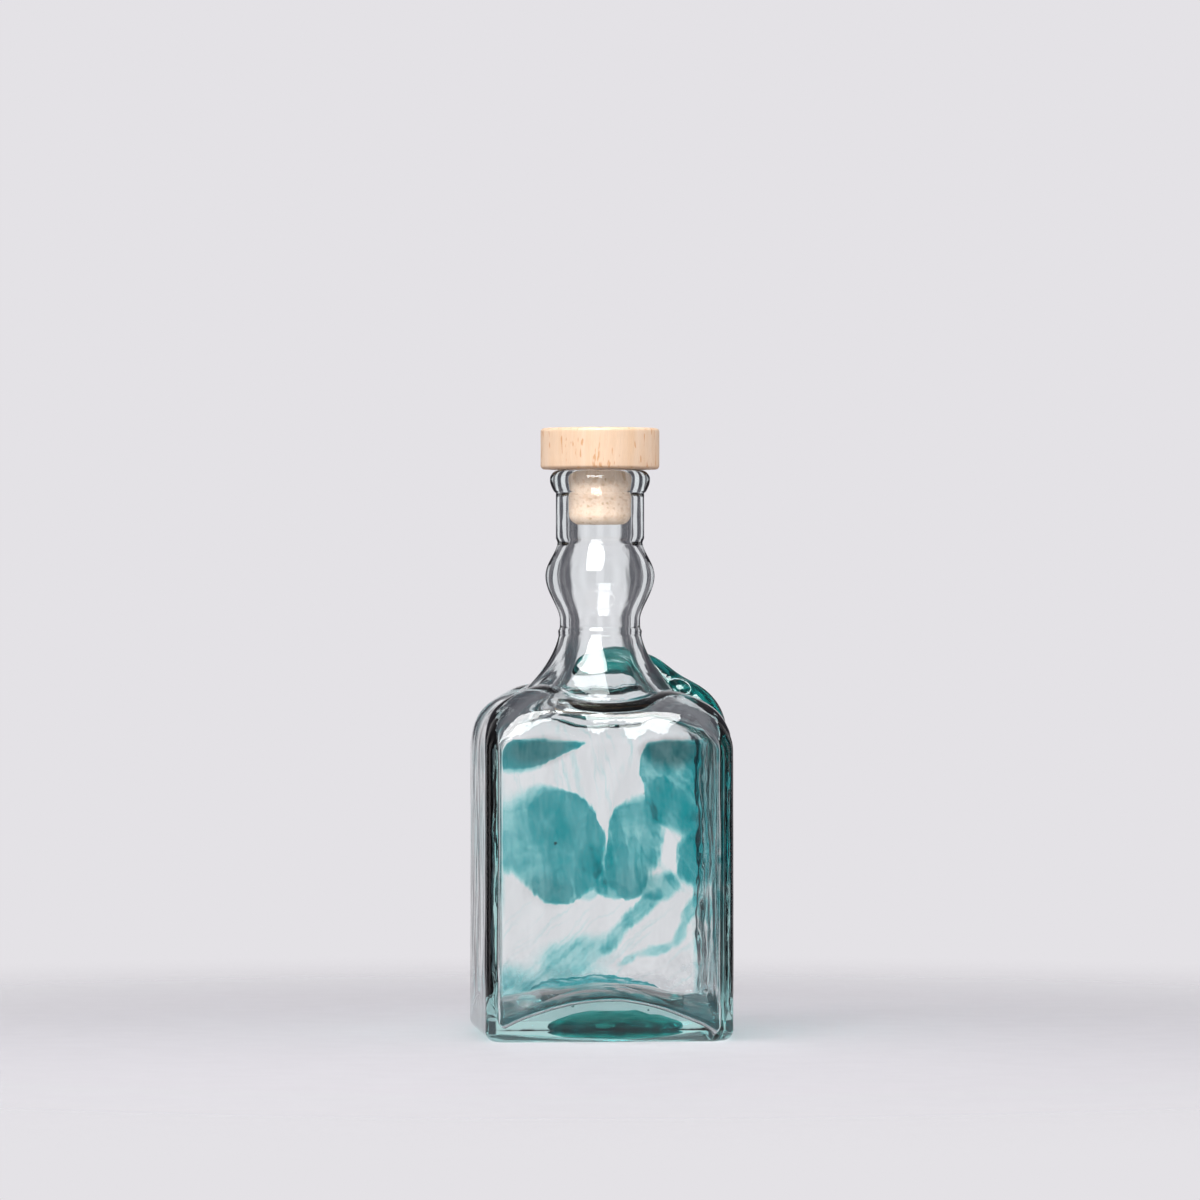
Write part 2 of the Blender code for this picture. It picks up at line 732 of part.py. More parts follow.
def main():
    """Build every piece of the bottle."""
    for old in list(bpy.data.objects):
        bpy.data.objects.remove(old)
    parts = collection(COLLECTION)
    cutters = collection(CUTTERS)

    clear = material("clear_glass", (0.80, 0.87, 0.86), 0.02, transmission=1.0)
    turquoise = material("turquoise_glass", (0.04, 0.34, 0.37), 0.03, transmission=1.0)
    deep = material("deep_turquoise_glass", (0.0, 0.15, 0.14), 0.03, transmission=1.0)
    pale = material("pale_turquoise_glass", (0.20, 0.62, 0.62), 0.03, transmission=1.0)
    beech = material("beech_wood", (0.83, 0.58, 0.34), 0.55)
    cork = material("pressed_cork", (0.76, 0.62, 0.49), 0.85)
    glue = material("wood_glue", (0.80, 0.76, 0.66), 0.45)

    skins = outer_stations() + inner_stations()
    body = add_object("bottle_body", loft("bottle_body", skins, FLOOR_CENTRE), parts, clear)
    inlays = {
        "colour_cloud_left": turquoise,
        "colour_cloud_right": turquoise,
        "colour_band_upper": deep,
        "colour_streak_lower": pale,
    }
    build_inlays(parts, cutters, body, inlays)
    build_base_colour(parts, cutters, body, deep)
    build_trail(parts, cutters, deep)

    build_head(parts, beech)
    build_shank(parts, cork)
    disc("stopper_glue", SHANK_RADIUS, GLUE_BOTTOM_Z, GLUE_TOP_Z, 0.0, parts, glue)


main()
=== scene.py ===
"""Looks for the corked glass bottle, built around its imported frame.

The bottle is hand-blown clear glass with turquoise glass melted into its back wall and a trail of
deep turquoise glass over one shoulder. Its stopper is a turned beech disc with a shank of pressed
cork. Shapes are in metres, with +Z up and the bottle's front facing -Y. Finishes work in
millimetres on each piece's own coordinates.
"""

import logging
import math
from dataclasses import dataclass
from enum import Enum

import bmesh
import bpy
from bmesh.types import BMesh
from bpy.types import Material, Mesh, Node, NodeTree, Object
from mathutils import Matrix, Vector, noise

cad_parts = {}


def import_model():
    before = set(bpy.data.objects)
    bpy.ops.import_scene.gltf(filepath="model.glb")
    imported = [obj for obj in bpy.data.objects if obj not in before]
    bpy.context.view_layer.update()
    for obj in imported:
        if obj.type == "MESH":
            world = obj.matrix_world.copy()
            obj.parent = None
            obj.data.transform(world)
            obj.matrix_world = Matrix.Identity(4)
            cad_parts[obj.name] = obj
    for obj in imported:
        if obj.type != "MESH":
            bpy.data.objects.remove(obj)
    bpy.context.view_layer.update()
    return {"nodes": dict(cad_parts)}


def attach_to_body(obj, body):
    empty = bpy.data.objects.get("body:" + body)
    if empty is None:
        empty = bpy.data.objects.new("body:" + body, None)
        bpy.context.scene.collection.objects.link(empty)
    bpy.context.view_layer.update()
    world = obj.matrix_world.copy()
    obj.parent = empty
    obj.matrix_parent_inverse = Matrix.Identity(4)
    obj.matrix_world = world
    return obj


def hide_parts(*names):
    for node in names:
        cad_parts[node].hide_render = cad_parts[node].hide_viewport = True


logging.basicConfig(level=logging.INFO, format="%(levelname)s %(name)s: %(message)s")
log = logging.getLogger("bottle")

Span = tuple[float, float]
Triple = tuple[float, float, float]
Blend = tuple[float, float, float, float]
Colour = tuple[float, float, float, float]

MM = 0.001
QUARTER = math.pi / 2
EASED = {"interpolation_type": "SMOOTHSTEP"}


class Body(Enum):
    """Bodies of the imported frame."""

    BOTTLE = "bottle"
    STOPPER = "stopper"


class Slot(Enum):
    """Material slots of the record."""

    CLEAR = "clear_glass"
    DEEP = "deep_turquoise_glass"
    BEECH = "beech_wood"
    CORK = "pressed_cork"


# Values over a surface


@dataclass(frozen=True)
class Field:
    """A value or colour over a surface: one output of a node, which takes plain arithmetic."""

    node: Node
    output: int | str = 0

    @property
    def tree(self) -> NodeTree:
        """Node tree that the field belongs to."""
        return self.node.id_data

    def also(self, output: int | str) -> "Field":
        """Another output of the same node."""
        return Field(self.node, output)

    def __add__(self, other: "Field | float") -> "Field":
        """Sum."""
        return add(self.tree, "Math", (self, other), operation="ADD")

    __radd__ = __add__

    def __sub__(self, other: "Field | float") -> "Field":
        """Difference."""
        return add(self.tree, "Math", (self, other), operation="SUBTRACT")

    def __rsub__(self, other: float) -> "Field":
        """Difference from a number."""
        return add(self.tree, "Math", (other, self), operation="SUBTRACT")

    def __mul__(self, other: "Field | float") -> "Field":
        """Product."""
        return add(self.tree, "Math", (self, other), operation="MULTIPLY")

    def __truediv__(self, other: "Field | float") -> "Field":
        """Quotient."""
        return add(self.tree, "Math", (self, other), operation="DIVIDE")

    def __pow__(self, other: float) -> "Field":
        """Power."""
        return add(self.tree, "Math", (self, other), operation="POWER")


def linear(value: str | float | tuple[float, ...]) -> float | tuple[float, ...]:
    """Turn an sRGB colour into the linear value that a shader takes, and leave any other value.

    Args:
        value: The colour as "#RRGGBB", or a plain number, vector or linear colour.

    Returns:
        Red, green, blue and an alpha of one, or the plain value.
    """
    if not isinstance(value, str):
        return value
    parts = [int(value[i : i + 2], 16) / 255.0 for i in (1, 3, 5)]
    light = [c / 12.92 if c <= 0.04045 else ((c + 0.055) / 1.055) ** 2.4 for c in parts]
    return (light[0], light[1], light[2], 1.0)


def add(
    tree: NodeTree,
    kind: str,
    inputs: dict | tuple = (),
    output: int | str = 0,
    stops: tuple[tuple[float, str | Colour], ...] = (),
    **settings: str,
) -> Field:
    """Add a node with its settings, values and links.

    Args:
        tree: The node tree that takes the node.
        kind: The node's class name without "ShaderNode".
        inputs: Fields to link, plain values and "#RRGGBB" colours, in the inputs' order or by name.
        output: The output that is wanted.
        stops: A colour ramp's stops, each a place from 0 to 1 and a colour.
        settings: Properties of the node by name.

    Returns:
        The field that the wanted output gives.
    """
    node = tree.nodes.new("ShaderNode" + kind)
    for name, value in settings.items():
        setattr(node, name, value)
    for key, value in inputs.items() if isinstance(inputs, dict) else enumerate(inputs):
        if isinstance(value, Field):
            tree.links.new(value.node.outputs[value.output], node.inputs[key])
        else:
            node.inputs[key].default_value = linear(value)
    if stops:
        elements = node.color_ramp.elements
        elements[0].position, elements[0].color = stops[0][0], linear(stops[0][1])
        elements[1].position, elements[1].color = stops[-1][0], linear(stops[-1][1])
        for place, colour in stops[1:-1]:
            elements.new(place).color = linear(colour)
    return Field(node, output)


def place_mm(tree: NodeTree) -> Field:
    """The surface's object coordinates in millimetres."""
    coordinates = add(tree, "TexCoord", output="Object")
    return add(tree, "VectorMath", {0: coordinates, "Scale": 1.0 / MM}, operation="SCALE")


def warped(place: Field, scale: float, reach: float) -> Field:
    """Push a coordinate about by noise, by up to half of reach to each side.

    Args:
        place: The coordinate in millimetres.
        scale: Repeats of the noise per millimetre.
        reach: Twice the largest push, in millimetres.

    Returns:
        The pushed coordinate.
    """
    push = add(place.tree, "TexNoise", {"Vector": place, "Scale": scale}, "Color")
    centred = add(place.tree, "VectorMath", (push, (0.5, 0.5, 0.5)), operation="SUBTRACT")
    scaled = add(place.tree, "VectorMath", {0: centred, "Scale": reach}, operation="SCALE")
    return add(place.tree, "VectorMath", (place, scaled), operation="ADD")


@dataclass(frozen=True)
class Grain:
    """An uneven pattern on coordinates in millimetres.

    It has its repeats per millimetre, finer octaves, bend, turn in degrees about Y and stretch. As
    a shade, it goes from thin where the pattern is low to thick where it is high.
    """

    scale: float
    detail: float = 2.0
    bend: float = 0.0
    turn: float = 0.0
    stretch: Triple = (1.0, 1.0, 1.0)
    low: float = 0.0
    high: float = 1.0
    thin: float = 0.0
    thick: float = 1.0

    def over(self, place: Field) -> Field:
        """Value of the pattern, from 0 to 1 and mostly near a half.

        Args:
            place: The coordinate in millimetres.

        Returns:
            The value, which varies along the turned and stretched coordinate.
        """
        rotation = (0.0, math.radians(self.turn), 0.0)
        turned = add(place.tree, "Mapping", {"Vector": place, "Rotation": rotation})
        drawn = add(place.tree, "Mapping", {"Vector": turned, "Scale": self.stretch})
        inputs = {"Vector": drawn, "Scale": self.scale, "Detail": self.detail, "Distortion": self.bend}
        return add(place.tree, "TexNoise", inputs)

    def shade(self, place: Field) -> Field:
        """The pattern as a soft change from thin to thick."""
        inputs = (self.over(place), self.low, self.high, self.thin, self.thick)
        return add(place.tree, "MapRange", inputs, **EASED)


def new_material(name: str) -> tuple[Material, NodeTree]:
    """Make a material with an empty node tree.

    Args:
        name: The material's name.

    Returns:
        The material and its node tree.
    """
    material = bpy.data.materials.new(name)
    material.use_nodes = True
    material.node_tree.nodes.clear()
    return material, material.node_tree


# Glass


@dataclass(frozen=True)
class Patch:
    """A patch of colour in the back wall, in millimetres.

    Its rim lies at shares of its half sizes in eight directions, from +X round through +Z, and it
    is soft over a share of that reach in each direction.
    """

    x: float
    z: float
    half_x: float
    half_z: float
    depth: float
    turn: float = 0.0
    rim: tuple[float, ...] = (1.0,) * 8
    soft: tuple[float, ...] = (0.5,) * 8

    def density(self, place: Field) -> Field:
        """Depth of the patch's colour.

        The ramp keeps half of each rim share, because its colours stop at one. It runs through the
        eight directions from -X round to -X again.

        Args:
            place: The coordinate in millimetres.

        Returns:
            The depth, from none at the rim to the patch's own inside it.
        """
        tree = place.tree
        inputs = {
            "Vector": place,
            "Location": (self.x, 0.0, self.z),
            "Rotation": (0.0, math.radians(self.turn), 0.0),
            "Scale": (self.half_x, 1.0e6, self.half_z),
        }
        local = add(tree, "Mapping", inputs, vector_type="TEXTURE")
        reach = add(tree, "VectorMath", (local,), "Value", operation="LENGTH")
        split = add(tree, "SeparateXYZ", (local,))
        angle = add(tree, "Math", (split.also(2), split), operation="ARCTAN2")
        around = [(step + 4) % 8 for step in range(9)]
        stops = [(i / 8, (self.rim[d] / 2, self.soft[d], 0.0, 1.0)) for i, d in enumerate(around)]
        table = add(tree, "ValToRGB", (angle * (1.0 / math.tau) + 0.5,), stops=tuple(stops))
        table.node.color_ramp.interpolation = "CARDINAL"
        edges = add(tree, "SeparateColor", (table,))
        rim = edges * 2.0
        core = rim * (1.0 - edges.also(1))
        return add(tree, "MapRange", (reach, rim, core, 0.0, self.depth), **EASED)


def blot(
    x: float, z: float, half_x: float, half_z: float, depth: float, turn: float = 0.0, soft: float = 0.6
) -> Patch:
    """A plain oval patch with the same softness all round."""
    return Patch(x, z, half_x, half_z, depth, turn, soft=(soft,) * 8)


@dataclass(frozen=True)
class Melt:
    """What a glass is in bulk: IOR, colour passed per depth, and the lamp light let through."""

    ior: float
    passed: Colour
    density: float
    lamp_share: float

    def finish(self, tree: NodeTree, tint: Field, relief: Field, depth: float) -> None:
        """Add the glass itself to a tree that holds its tint and relief.

        Args:
            tree: The material's node tree.
            tint: Colour of the light let through the surface.
            relief: Height of the fine relief, from 0 to 1.
            depth: Depth of that relief in metres.
        """
        in_shadow = add(tree, "LightPath", output="Is Shadow Ray")
        inputs = {
            "Base Color": tint,
            "Transmission Weight": 1.0,
            "Roughness": 0.0,
            "IOR": self.ior,
            "Normal": add(tree, "Bump", {"Height": relief, "Distance": depth}),
            "Alpha": 1.0 - in_shadow * self.lamp_share,
        }
        body = add(tree, "VolumeAbsorption", {"Color": self.passed, "Density": self.density})
        surface = add(tree, "BsdfPrincipled", inputs)
        add(tree, "OutputMaterial", {"Surface": surface, "Volume": body})


@dataclass(frozen=True)
class SideRun:
    """Colour that ran down a side wall: the right one (side 1) or the left one (side -1).

    It fades from full_z down to foot_z, where a share of it is left.
    """

    side: int
    streaks: Grain
    foot_z: float
    full_z: float
    at_foot: float


# Light that turquoise glass lets through, from none of it to a deep layer. Thin layers are milky,
# so they take some of every colour; the deepest ones are clear again and pure in colour.
TURQUOISE = (
    (0.0, (1.0, 1.0, 1.0, 1.0)),
    (0.10, (0.56, 0.88, 0.88, 1.0)),
    (0.20, (0.29, 0.70, 0.71, 1.0)),
    (0.32, (0.10, 0.49, 0.52, 1.0)),
    (0.44, (0.04, 0.39, 0.42, 1.0)),
    (0.60, (0.006, 0.38, 0.41, 1.0)),
    (0.80, (0.003, 0.30, 0.33, 1.0)),
    (1.0, (0.002, 0.17, 0.19, 1.0)),
)


@dataclass(frozen=True)
class ClearGlass:
    """Hand-blown soda glass, fire-polished, with turquoise glass melted into its walls.

    The slight aqua of the metal gives the eye the thickness: thin walls stay clear, while the side
    walls and the base, which are seen along their length, go green. The turquoise lies in the back
    wall as watery clouds with streaks inside them, and it runs down the side walls. A span is the
    two places, in millimetres, between which a colour sets in. A warp is its noise's repeats per
    millimetre and its reach. A blend goes from its third value to its fourth while a pattern goes
    from the first to the second.
    """

    melt: Melt = Melt(1.5, (0.0, 0.66, 0.60, 1.0), 7.0, 0.92)
    ripples: Grain = Grain(0.16, stretch=(1.0, 1.0, 0.4))
    ripple_depth: float = 0.10 * MM
    back_y: Span = (30.0, 37.0)
    back_foot_z: Span = (5.0, 14.0)
    back_top_z: Span = (111.5, 109.0)
    clouds: tuple[Patch, ...] = (
        Patch(-14.4, 68.3, 20.5, 22.5, 0.38, 0.0,
              (0.98, 1.0, 1.02, 1.34, 1.30, 0.86, 1.0, 1.04),
              (0.03, 0.03, 0.10, 0.4, 0.3, 0.15, 0.05, 0.04)),
        Patch(-10.5, 71.8, 17.0, 20.0, 0.14, 0.0,
              (0.93, 0.92, 0.91, 1.0, 0.84, 0.80, 1.2, 1.10),
              (0.06, 0.06, 0.08, 0.12, 0.25, 0.4, 0.2, 0.06)),
        Patch(0.3, 63.2, 5.2, 8.6, 0.36, 0.0,
              (1.0, 0.95, 1.0, 1.0, 1.0, 0.95, 1.0, 1.0),
              (0.1, 0.2, 0.5, 0.6, 0.5, 0.4, 0.4, 0.2)),
        Patch(15.5, 67.5, 10.4, 18.4, 0.37, 0.0,
              (1.1, 1.5, 1.05, 0.98, 0.90, 1.05, 1.04, 1.0),
              (0.2, 0.4, 0.2, 0.08, 0.06, 0.06, 0.08, 0.15)),
        Patch(31.1, 93.4, 14.0, 19.0, 0.38, 0.0,
              (1.2, 1.25, 0.98, 1.07, 0.865, 0.96, 1.15, 1.35),
              (0.1, 0.1, 0.03, 0.04, 0.05, 0.06, 0.25, 0.3)),
        Patch(26.8, 87.3, 5.6, 8.3, 0.20, 0.0,
              (0.95, 1.1, 0.95, 1.0, 0.95, 0.9, 1.03, 0.95),
              (0.15, 0.15, 0.1, 0.1, 0.1, 0.3, 0.15, 0.2)),
        Patch(38.9, 64.0, 6.5, 10.0, 0.40, 0.0,
              (1.3, 1.2, 1.05, 1.0, 0.90, 1.1, 1.15, 1.3),
              (0.3, 0.4, 0.4, 0.3, 0.12, 0.25, 0.3, 0.3)),
        blot(6.3, 60.0, 3.6, 11.5, 0.38, soft=0.7),
        blot(7.4, 52.6, 8.0, 4.0, 0.30, 4.0, 0.3),
        blot(5.4, 56.5, 3.2, 4.6, 0.30, soft=0.6),
        blot(22.5, 79.5, 5.0, 8.5, 0.16, 6.0, 0.5),
        blot(-14.9, 74.4, 9.0, 8.0, 0.08, soft=0.9),
        blot(-1.0, 52.0, 6.0, 4.5, 0.12, soft=0.4),
        blot(-5.3, 51.5, 1.4, 6.5, -0.12, 8.0),
        blot(40.7, 96.0, 5.5, 8.0, 0.14, 12.0, 0.25),
        blot(39.5, 76.0, 8.0, 9.0, 0.24),
        blot(26.5, 54.0, 10.0, 6.0, 0.24, -10.0, 0.45),
        blot(20.0, 45.5, 12.5, 4.0, 0.24, -46.0, 0.5),
        blot(10.0, 34.5, 10.5, 3.4, 0.20, -48.0, 0.5),
        blot(38.5, 45.0, 8.5, 3.6, 0.24, -55.0),
        blot(33.3, 35.5, 6.5, 2.8, 0.20, -68.0),
        blot(25.0, 29.9, 8.5, 2.4, 0.20, -18.0),
        blot(14.6, 25.8, 6.5, 2.1, 0.16, -30.0),
        blot(-8.0, 26.5, 21.0, 10.0, 0.17, -16.0, 0.7),
        blot(-4.4, 19.5, 18.0, 6.5, 0.10, soft=0.8),
        blot(-30.0, 15.0, 15.0, 12.0, 0.24, soft=0.7),
        blot(-19.2, 105.5, 18.5, 6.2, 0.40, -18.0, 0.10),
        blot(-28.0, 101.5, 12.5, 6.0, 0.20, soft=0.35),
    )
    cloud_warps: tuple[Span, ...] = ((0.05, 4.5), (0.3, 1.3))
    # Painted shade: grey patches that darken every colour of the light let through the back wall, under the
    # back shoulder and in the lower clouds.
    painted_shade_patches: tuple[Patch, ...] = (
        blot(31.0, 105.0, 16.0, 10.0, 0.62),
        blot(-20.0, 105.0, 19.0, 8.0, 0.48, -14.0),
        blot(-16.0, 52.0, 14.0, 8.0, 0.20, 10.0, 0.8),
        blot(18.0, 56.0, 15.0, 9.0, 0.15, soft=0.8),
    )
    folds: tuple[Grain, ...] = (
        Grain(0.055, 1.0, 0.8, low=0.47, high=0.52, thin=0.80, thick=1.08),
        Grain(0.09, 1.0, 1.2, 70.0, low=0.50, high=0.53, thin=0.86, thick=1.08),
        Grain(0.14, 4.0, 0.5, low=0.25, high=0.75, thin=0.80, thick=1.18),
    )
    upright: Grain = Grain(0.5, 3.0, 0.25, 10.0, (0.9, 0.1, 0.07))
    falling: Grain = Grain(0.42, 3.0, 0.25, 43.0, (0.9, 0.1, 0.07))
    rising: Grain = Grain(0.5, 3.0, 0.25, -50.0, (0.9, 0.1, 0.07))
    line_tone: Blend = (0.34, 0.66, 0.76, 1.18)
    line_wisps: Blend = (0.55, 0.72, 0.0, 0.06)
    falling_x: Span = (17.0, 24.0)
    rising_z: Span = (54.0, 46.0)
    calm_x: Span = (5.0, -2.0)
    calm_z: Span = (54.0, 62.0)
    calm_share: float = 0.75
    side_x: Span = (38.0, 40.0)
    side_warp: Span = (0.05, 9.0)
    side_runs: tuple[SideRun, ...] = (
        SideRun(1, Grain(0.22, 4.0, 0.8, 0.0, (0.02, 1.0, 0.10), 0.47, 0.66, 0.02, 0.42), 8.0, 40.0, 0.5),
        SideRun(-1, Grain(0.22, 4.0, 0.8, 0.0, (0.02, 1.0, 0.10), 0.50, 0.68, 0.02, 0.34), 40.0, 100.0, 0.35),
    )
    floor_inside: Span = (41.6, 41.1)
    floor_foot_z: Span = (1.6, 2.8)
    floor_z: float = 14.6
    floor_fall: float = 10.4
    floor_over: Span = (4.4, 2.6)
    floor_reach: Span = (26.0, 40.0)
    floor_depth: Span = (0.06, 0.30)
    floor_warp: Span = (0.2, 4.0)
    floor_mottle: Grain = Grain(0.09, 3.0, low=0.3, high=0.7, thin=0.6, thick=1.3)
    floor_threads: Grain = Grain(0.5, 3.0, 0.5, 0.0, (0.25, 0.8, 0.8), 0.46, 0.60, 0.0, 0.38)
    seam_reach: Span = (38.5, 39.5)
    seam_foot: Span = (-0.6, 0.1)
    seam_top: Span = (1.5, 0.8)
    seam_depth: float = 0.75
    ridge_z: float = 20.0
    ridge_fall: float = 13.0
    ridge_half: float = 40.5
    ridge_ragged: Grain = Grain(0.33, 3.0, stretch=(0.45, 1.0, 1.6))
    ridge_wander: float = 4.0
    ridge_top: Span = (0.2, -0.1)
    ridge_foot: Span = (-1.4, -0.6)
    ridge_depth: float = 0.95
    ridge_under: Span = (-0.4, -1.2)
    ridge_streaks: Grain = Grain(0.6, 2.0, 0.6, 0.0, (0.45, 1.0, 1.6), 0.44, 0.60, 0.04, 0.34)
    inner_back_y: tuple[Span, ...] = ((36.0, 39.0), (42.5, 41.5))

    def patches(self, place: Field, which: tuple[Patch, ...]) -> Field:
        """Sum of patches over the back wall, where a patch of negative depth thins the others."""
        total = sum((patch.density(place) for patch in which), 0.0)
        return add(place.tree, "Math", (total, 0.0), operation="MAXIMUM")

    def drawn_lines(self, bent: Field, x: Field, z: Field) -> Field:
        """Fine lines along which the colour was drawn out.

        Args:
            bent: The warped coordinate in millimetres.
            x: The place across.
            z: The height.

        Returns:
            The lines' value: upright on the left, falling on the right and rising low down.
        """
        tree = bent.tree
        right = add(tree, "MapRange", (x, *self.falling_x), **EASED)
        inputs = {0: right, 2: self.upright.over(bent), 3: self.falling.over(bent)}
        above = add(tree, "Mix", inputs, data_type="FLOAT")
        low = add(tree, "MapRange", (z, *self.rising_z), **EASED)
        return add(tree, "Mix", {0: low, 2: above, 3: self.rising.over(bent)}, data_type="FLOAT")

    def back_colour(self, place: Field, x: Field, z: Field) -> Field:
        """Density of the clouds in the back wall, with their folds and drawn-out lines.

        Args:
            place: The coordinate in millimetres.
            x: The place across.
            z: The height.

        Returns:
            The density, from 0 to 1.
        """
        tree = place.tree
        bent = place
        for warp in self.cloud_warps:
            bent = warped(bent, *warp)
        total = self.patches(bent, self.clouds)
        total = total * add(tree, "MapRange", (z, *self.back_top_z), **EASED)
        for fold in self.folds:
            total = total * fold.shade(bent)
        lines = self.drawn_lines(bent, x, z)
        calm = add(tree, "MapRange", (x, *self.calm_x), **EASED)
        calm = calm * add(tree, "MapRange", (z, *self.calm_z, 0.0, self.calm_share), **EASED)
        drawn = add(tree, "MapRange", (lines, *self.line_tone), **EASED)
        total = total * add(tree, "Mix", {0: calm, 2: drawn, 3: 1.0}, data_type="FLOAT")
        return total + add(tree, "MapRange", (lines, *self.line_wisps), **EASED)

    def side_colour(self, place: Field, x: Field, z: Field) -> Field:
        """Density of the colour that ran down the side walls.

        Args:
            place: The coordinate in millimetres.
            x: The place across.
            z: The height.

        Returns:
            The density, from 0 to 1.
        """
        tree = place.tree
        bent = warped(place, *self.side_warp)
        total = 0.0
        for run in self.side_runs:
            on_wall = add(tree, "MapRange", (x, *(run.side * edge for edge in self.side_x)), **EASED)
            fade = add(tree, "MapRange", (z, run.foot_z, run.full_z, run.at_foot, 1.0), **EASED)
            total = on_wall * run.streaks.shade(bent) * fade + total
        return total

    def floor_colour(self, place: Field, reach: Field, nearer: Field, z: Field) -> Field:
        """Density of the colour on the arched floor inside and in its seam with the walls.

        Args:
            place: The coordinate in millimetres.
            reach: The larger of the distances from the middle along X and Y.
            nearer: The smaller of them.
            z: The height.

        Returns:
            The density, from 0 to 1.
        """
        tree = place.tree
        over = z - (self.floor_z - (nearer / reach) ** 2.0 * self.floor_fall)
        inside = add(tree, "MapRange", (reach, *self.floor_inside), **EASED)
        inside = inside * add(tree, "MapRange", (z, *self.floor_foot_z), **EASED)
        inside = inside * add(tree, "MapRange", (over, *self.floor_over), **EASED)
        rim = add(tree, "MapRange", (reach, *self.floor_reach, *self.floor_depth), **EASED)
        rim = rim * self.floor_mottle.shade(warped(place, *self.floor_warp))
        seam = add(tree, "MapRange", (over, *self.seam_foot), **EASED)
        seam = seam * add(tree, "MapRange", (over, *self.seam_top, 0.0, self.seam_depth), **EASED)
        seam = seam * add(tree, "MapRange", (reach, *self.seam_reach), **EASED)
        return inside * (rim + self.floor_threads.shade(place) + seam)

    def ridge_colour(self, place: Field, x: Field, y: Field, z: Field) -> Field:
        """Density of the ragged coloured ridge that stands on the back wall over the arched floor.

        Args:
            place: The coordinate in millimetres.
            x: The place across.
            y: The place from front to back.
            z: The height.

        Returns:
            The density, from 0 to 1.
        """
        tree = place.tree
        ragged = (self.ridge_ragged.over(place) - 0.5) * self.ridge_wander
        over = z - (self.ridge_z - (x / self.ridge_half) ** 2.0 * self.ridge_fall) + ragged
        rim = add(tree, "MapRange", (over, *self.ridge_top), **EASED)
        rim = rim * add(tree, "MapRange", (over, *self.ridge_foot, 0.0, self.ridge_depth), **EASED)
        under = add(tree, "MapRange", (over, *self.ridge_under), **EASED)
        total = rim + under * self.ridge_streaks.shade(place)
        for span in self.inner_back_y:
            total = total * add(tree, "MapRange", (y, *span), **EASED)
        return total

    def build(self) -> Material:
        """Make the glass with its colour, faint ripples and aqua body.

        Returns:
            The material.
        """
        material, tree = new_material("hand_blown_glass")
        place = place_mm(tree)
        x = add(tree, "SeparateXYZ", (place,))
        y, z = x.also(1), x.also(2)
        sides = tuple(add(tree, "Math", (side,), operation="ABSOLUTE") for side in (x, y))
        reach = add(tree, "Math", sides, operation="MAXIMUM")
        nearer = add(tree, "Math", sides, operation="MINIMUM")
        on_back = add(tree, "MapRange", (y, *self.back_y), **EASED)
        on_back = on_back * add(tree, "MapRange", (z, *self.back_foot_z), **EASED)
        density = self.back_colour(place, x, z) * on_back + self.side_colour(place, x, z)
        density = density + self.floor_colour(place, reach, nearer, z)
        density = density + self.ridge_colour(place, x, y, z)
        colour = add(tree, "ValToRGB", (density,), stops=TURQUOISE)
        # Painted shade: the grey patches darken the back wall's tint.
        clear_share = 1.0 - self.patches(place, self.painted_shade_patches) * on_back
        tint = add(tree, "VectorMath", {0: colour, "Scale": clear_share}, operation="SCALE")
        self.melt.finish(tree, tint, self.ripples.over(place), self.ripple_depth)
        return material


@dataclass(frozen=True)
class DeepGlass:
    """Turquoise glass in a thick thread or pool, fire-polished.

    Its colour lies in its depth, so the eye sees dark blue-green in the middle of a bead and
    brighter colour where it thins out, with faint darker threads along it. In a settled one, the
    deepest colour lies in swirls near the bottom, with painted highlights of pale cyan glints
    among them.
    """

    name: str
    melt: Melt
    settled: bool = False
    settled_z: Span = (6.5, 3.5)
    settled_warp: Span = (0.15, 4.0)
    threads: Grain = Grain(0.22, 4.0, 0.7)
    thread_warp: Span = (0.12, 6.0)
    thread_tones: tuple[tuple[float, str], ...] = ((0.0, "#5FB9B4"), (0.45, "#8FD4CF"), (1.0, "#D5F2EF"))
    swirls: Grain = Grain(0.35, 3.0, 1.0, stretch=(0.35, 0.35, 1.3))
    swirl_warp: Span = (0.1, 5.0)
    # Its palest stop is a painted highlight: pale cyan glints among the dark swirls.
    swirl_tones_and_painted_glints: tuple[tuple[float, str], ...] = ((0.44, "#054A52"), (0.58, "#0F7C86"), (0.66, "#B9EAE6"))
    ripples: Grain = Grain(0.25)
    ripple_depth: float = 0.08 * MM

    def build(self) -> Material:
        """Make the coloured glass.

        Returns:
            The material.
        """
        material, tree = new_material(self.name)
        place = place_mm(tree)
        threads = self.threads.over(warped(place, *self.thread_warp))
        tone = add(tree, "ValToRGB", (threads,), stops=self.thread_tones)
        if self.settled:
            height = add(tree, "SeparateXYZ", (warped(place, *self.settled_warp),)).also(2)
            below = add(tree, "MapRange", (height, *self.settled_z), **EASED)
            swirls = self.swirls.over(warped(place, *self.swirl_warp))
            # Dark swirls near the bottom, with painted highlights of pale cyan glints.
            depths_and_painted_glints = add(tree, "ValToRGB", (swirls,), stops=self.swirl_tones_and_painted_glints)
            tone = add(tree, "Mix", {0: below, 6: tone, 7: depths_and_painted_glints}, 2, data_type="RGBA")
        self.melt.finish(tree, tone, self.ripples.over(place), self.ripple_depth)
        return material


# Wood, cork and glue


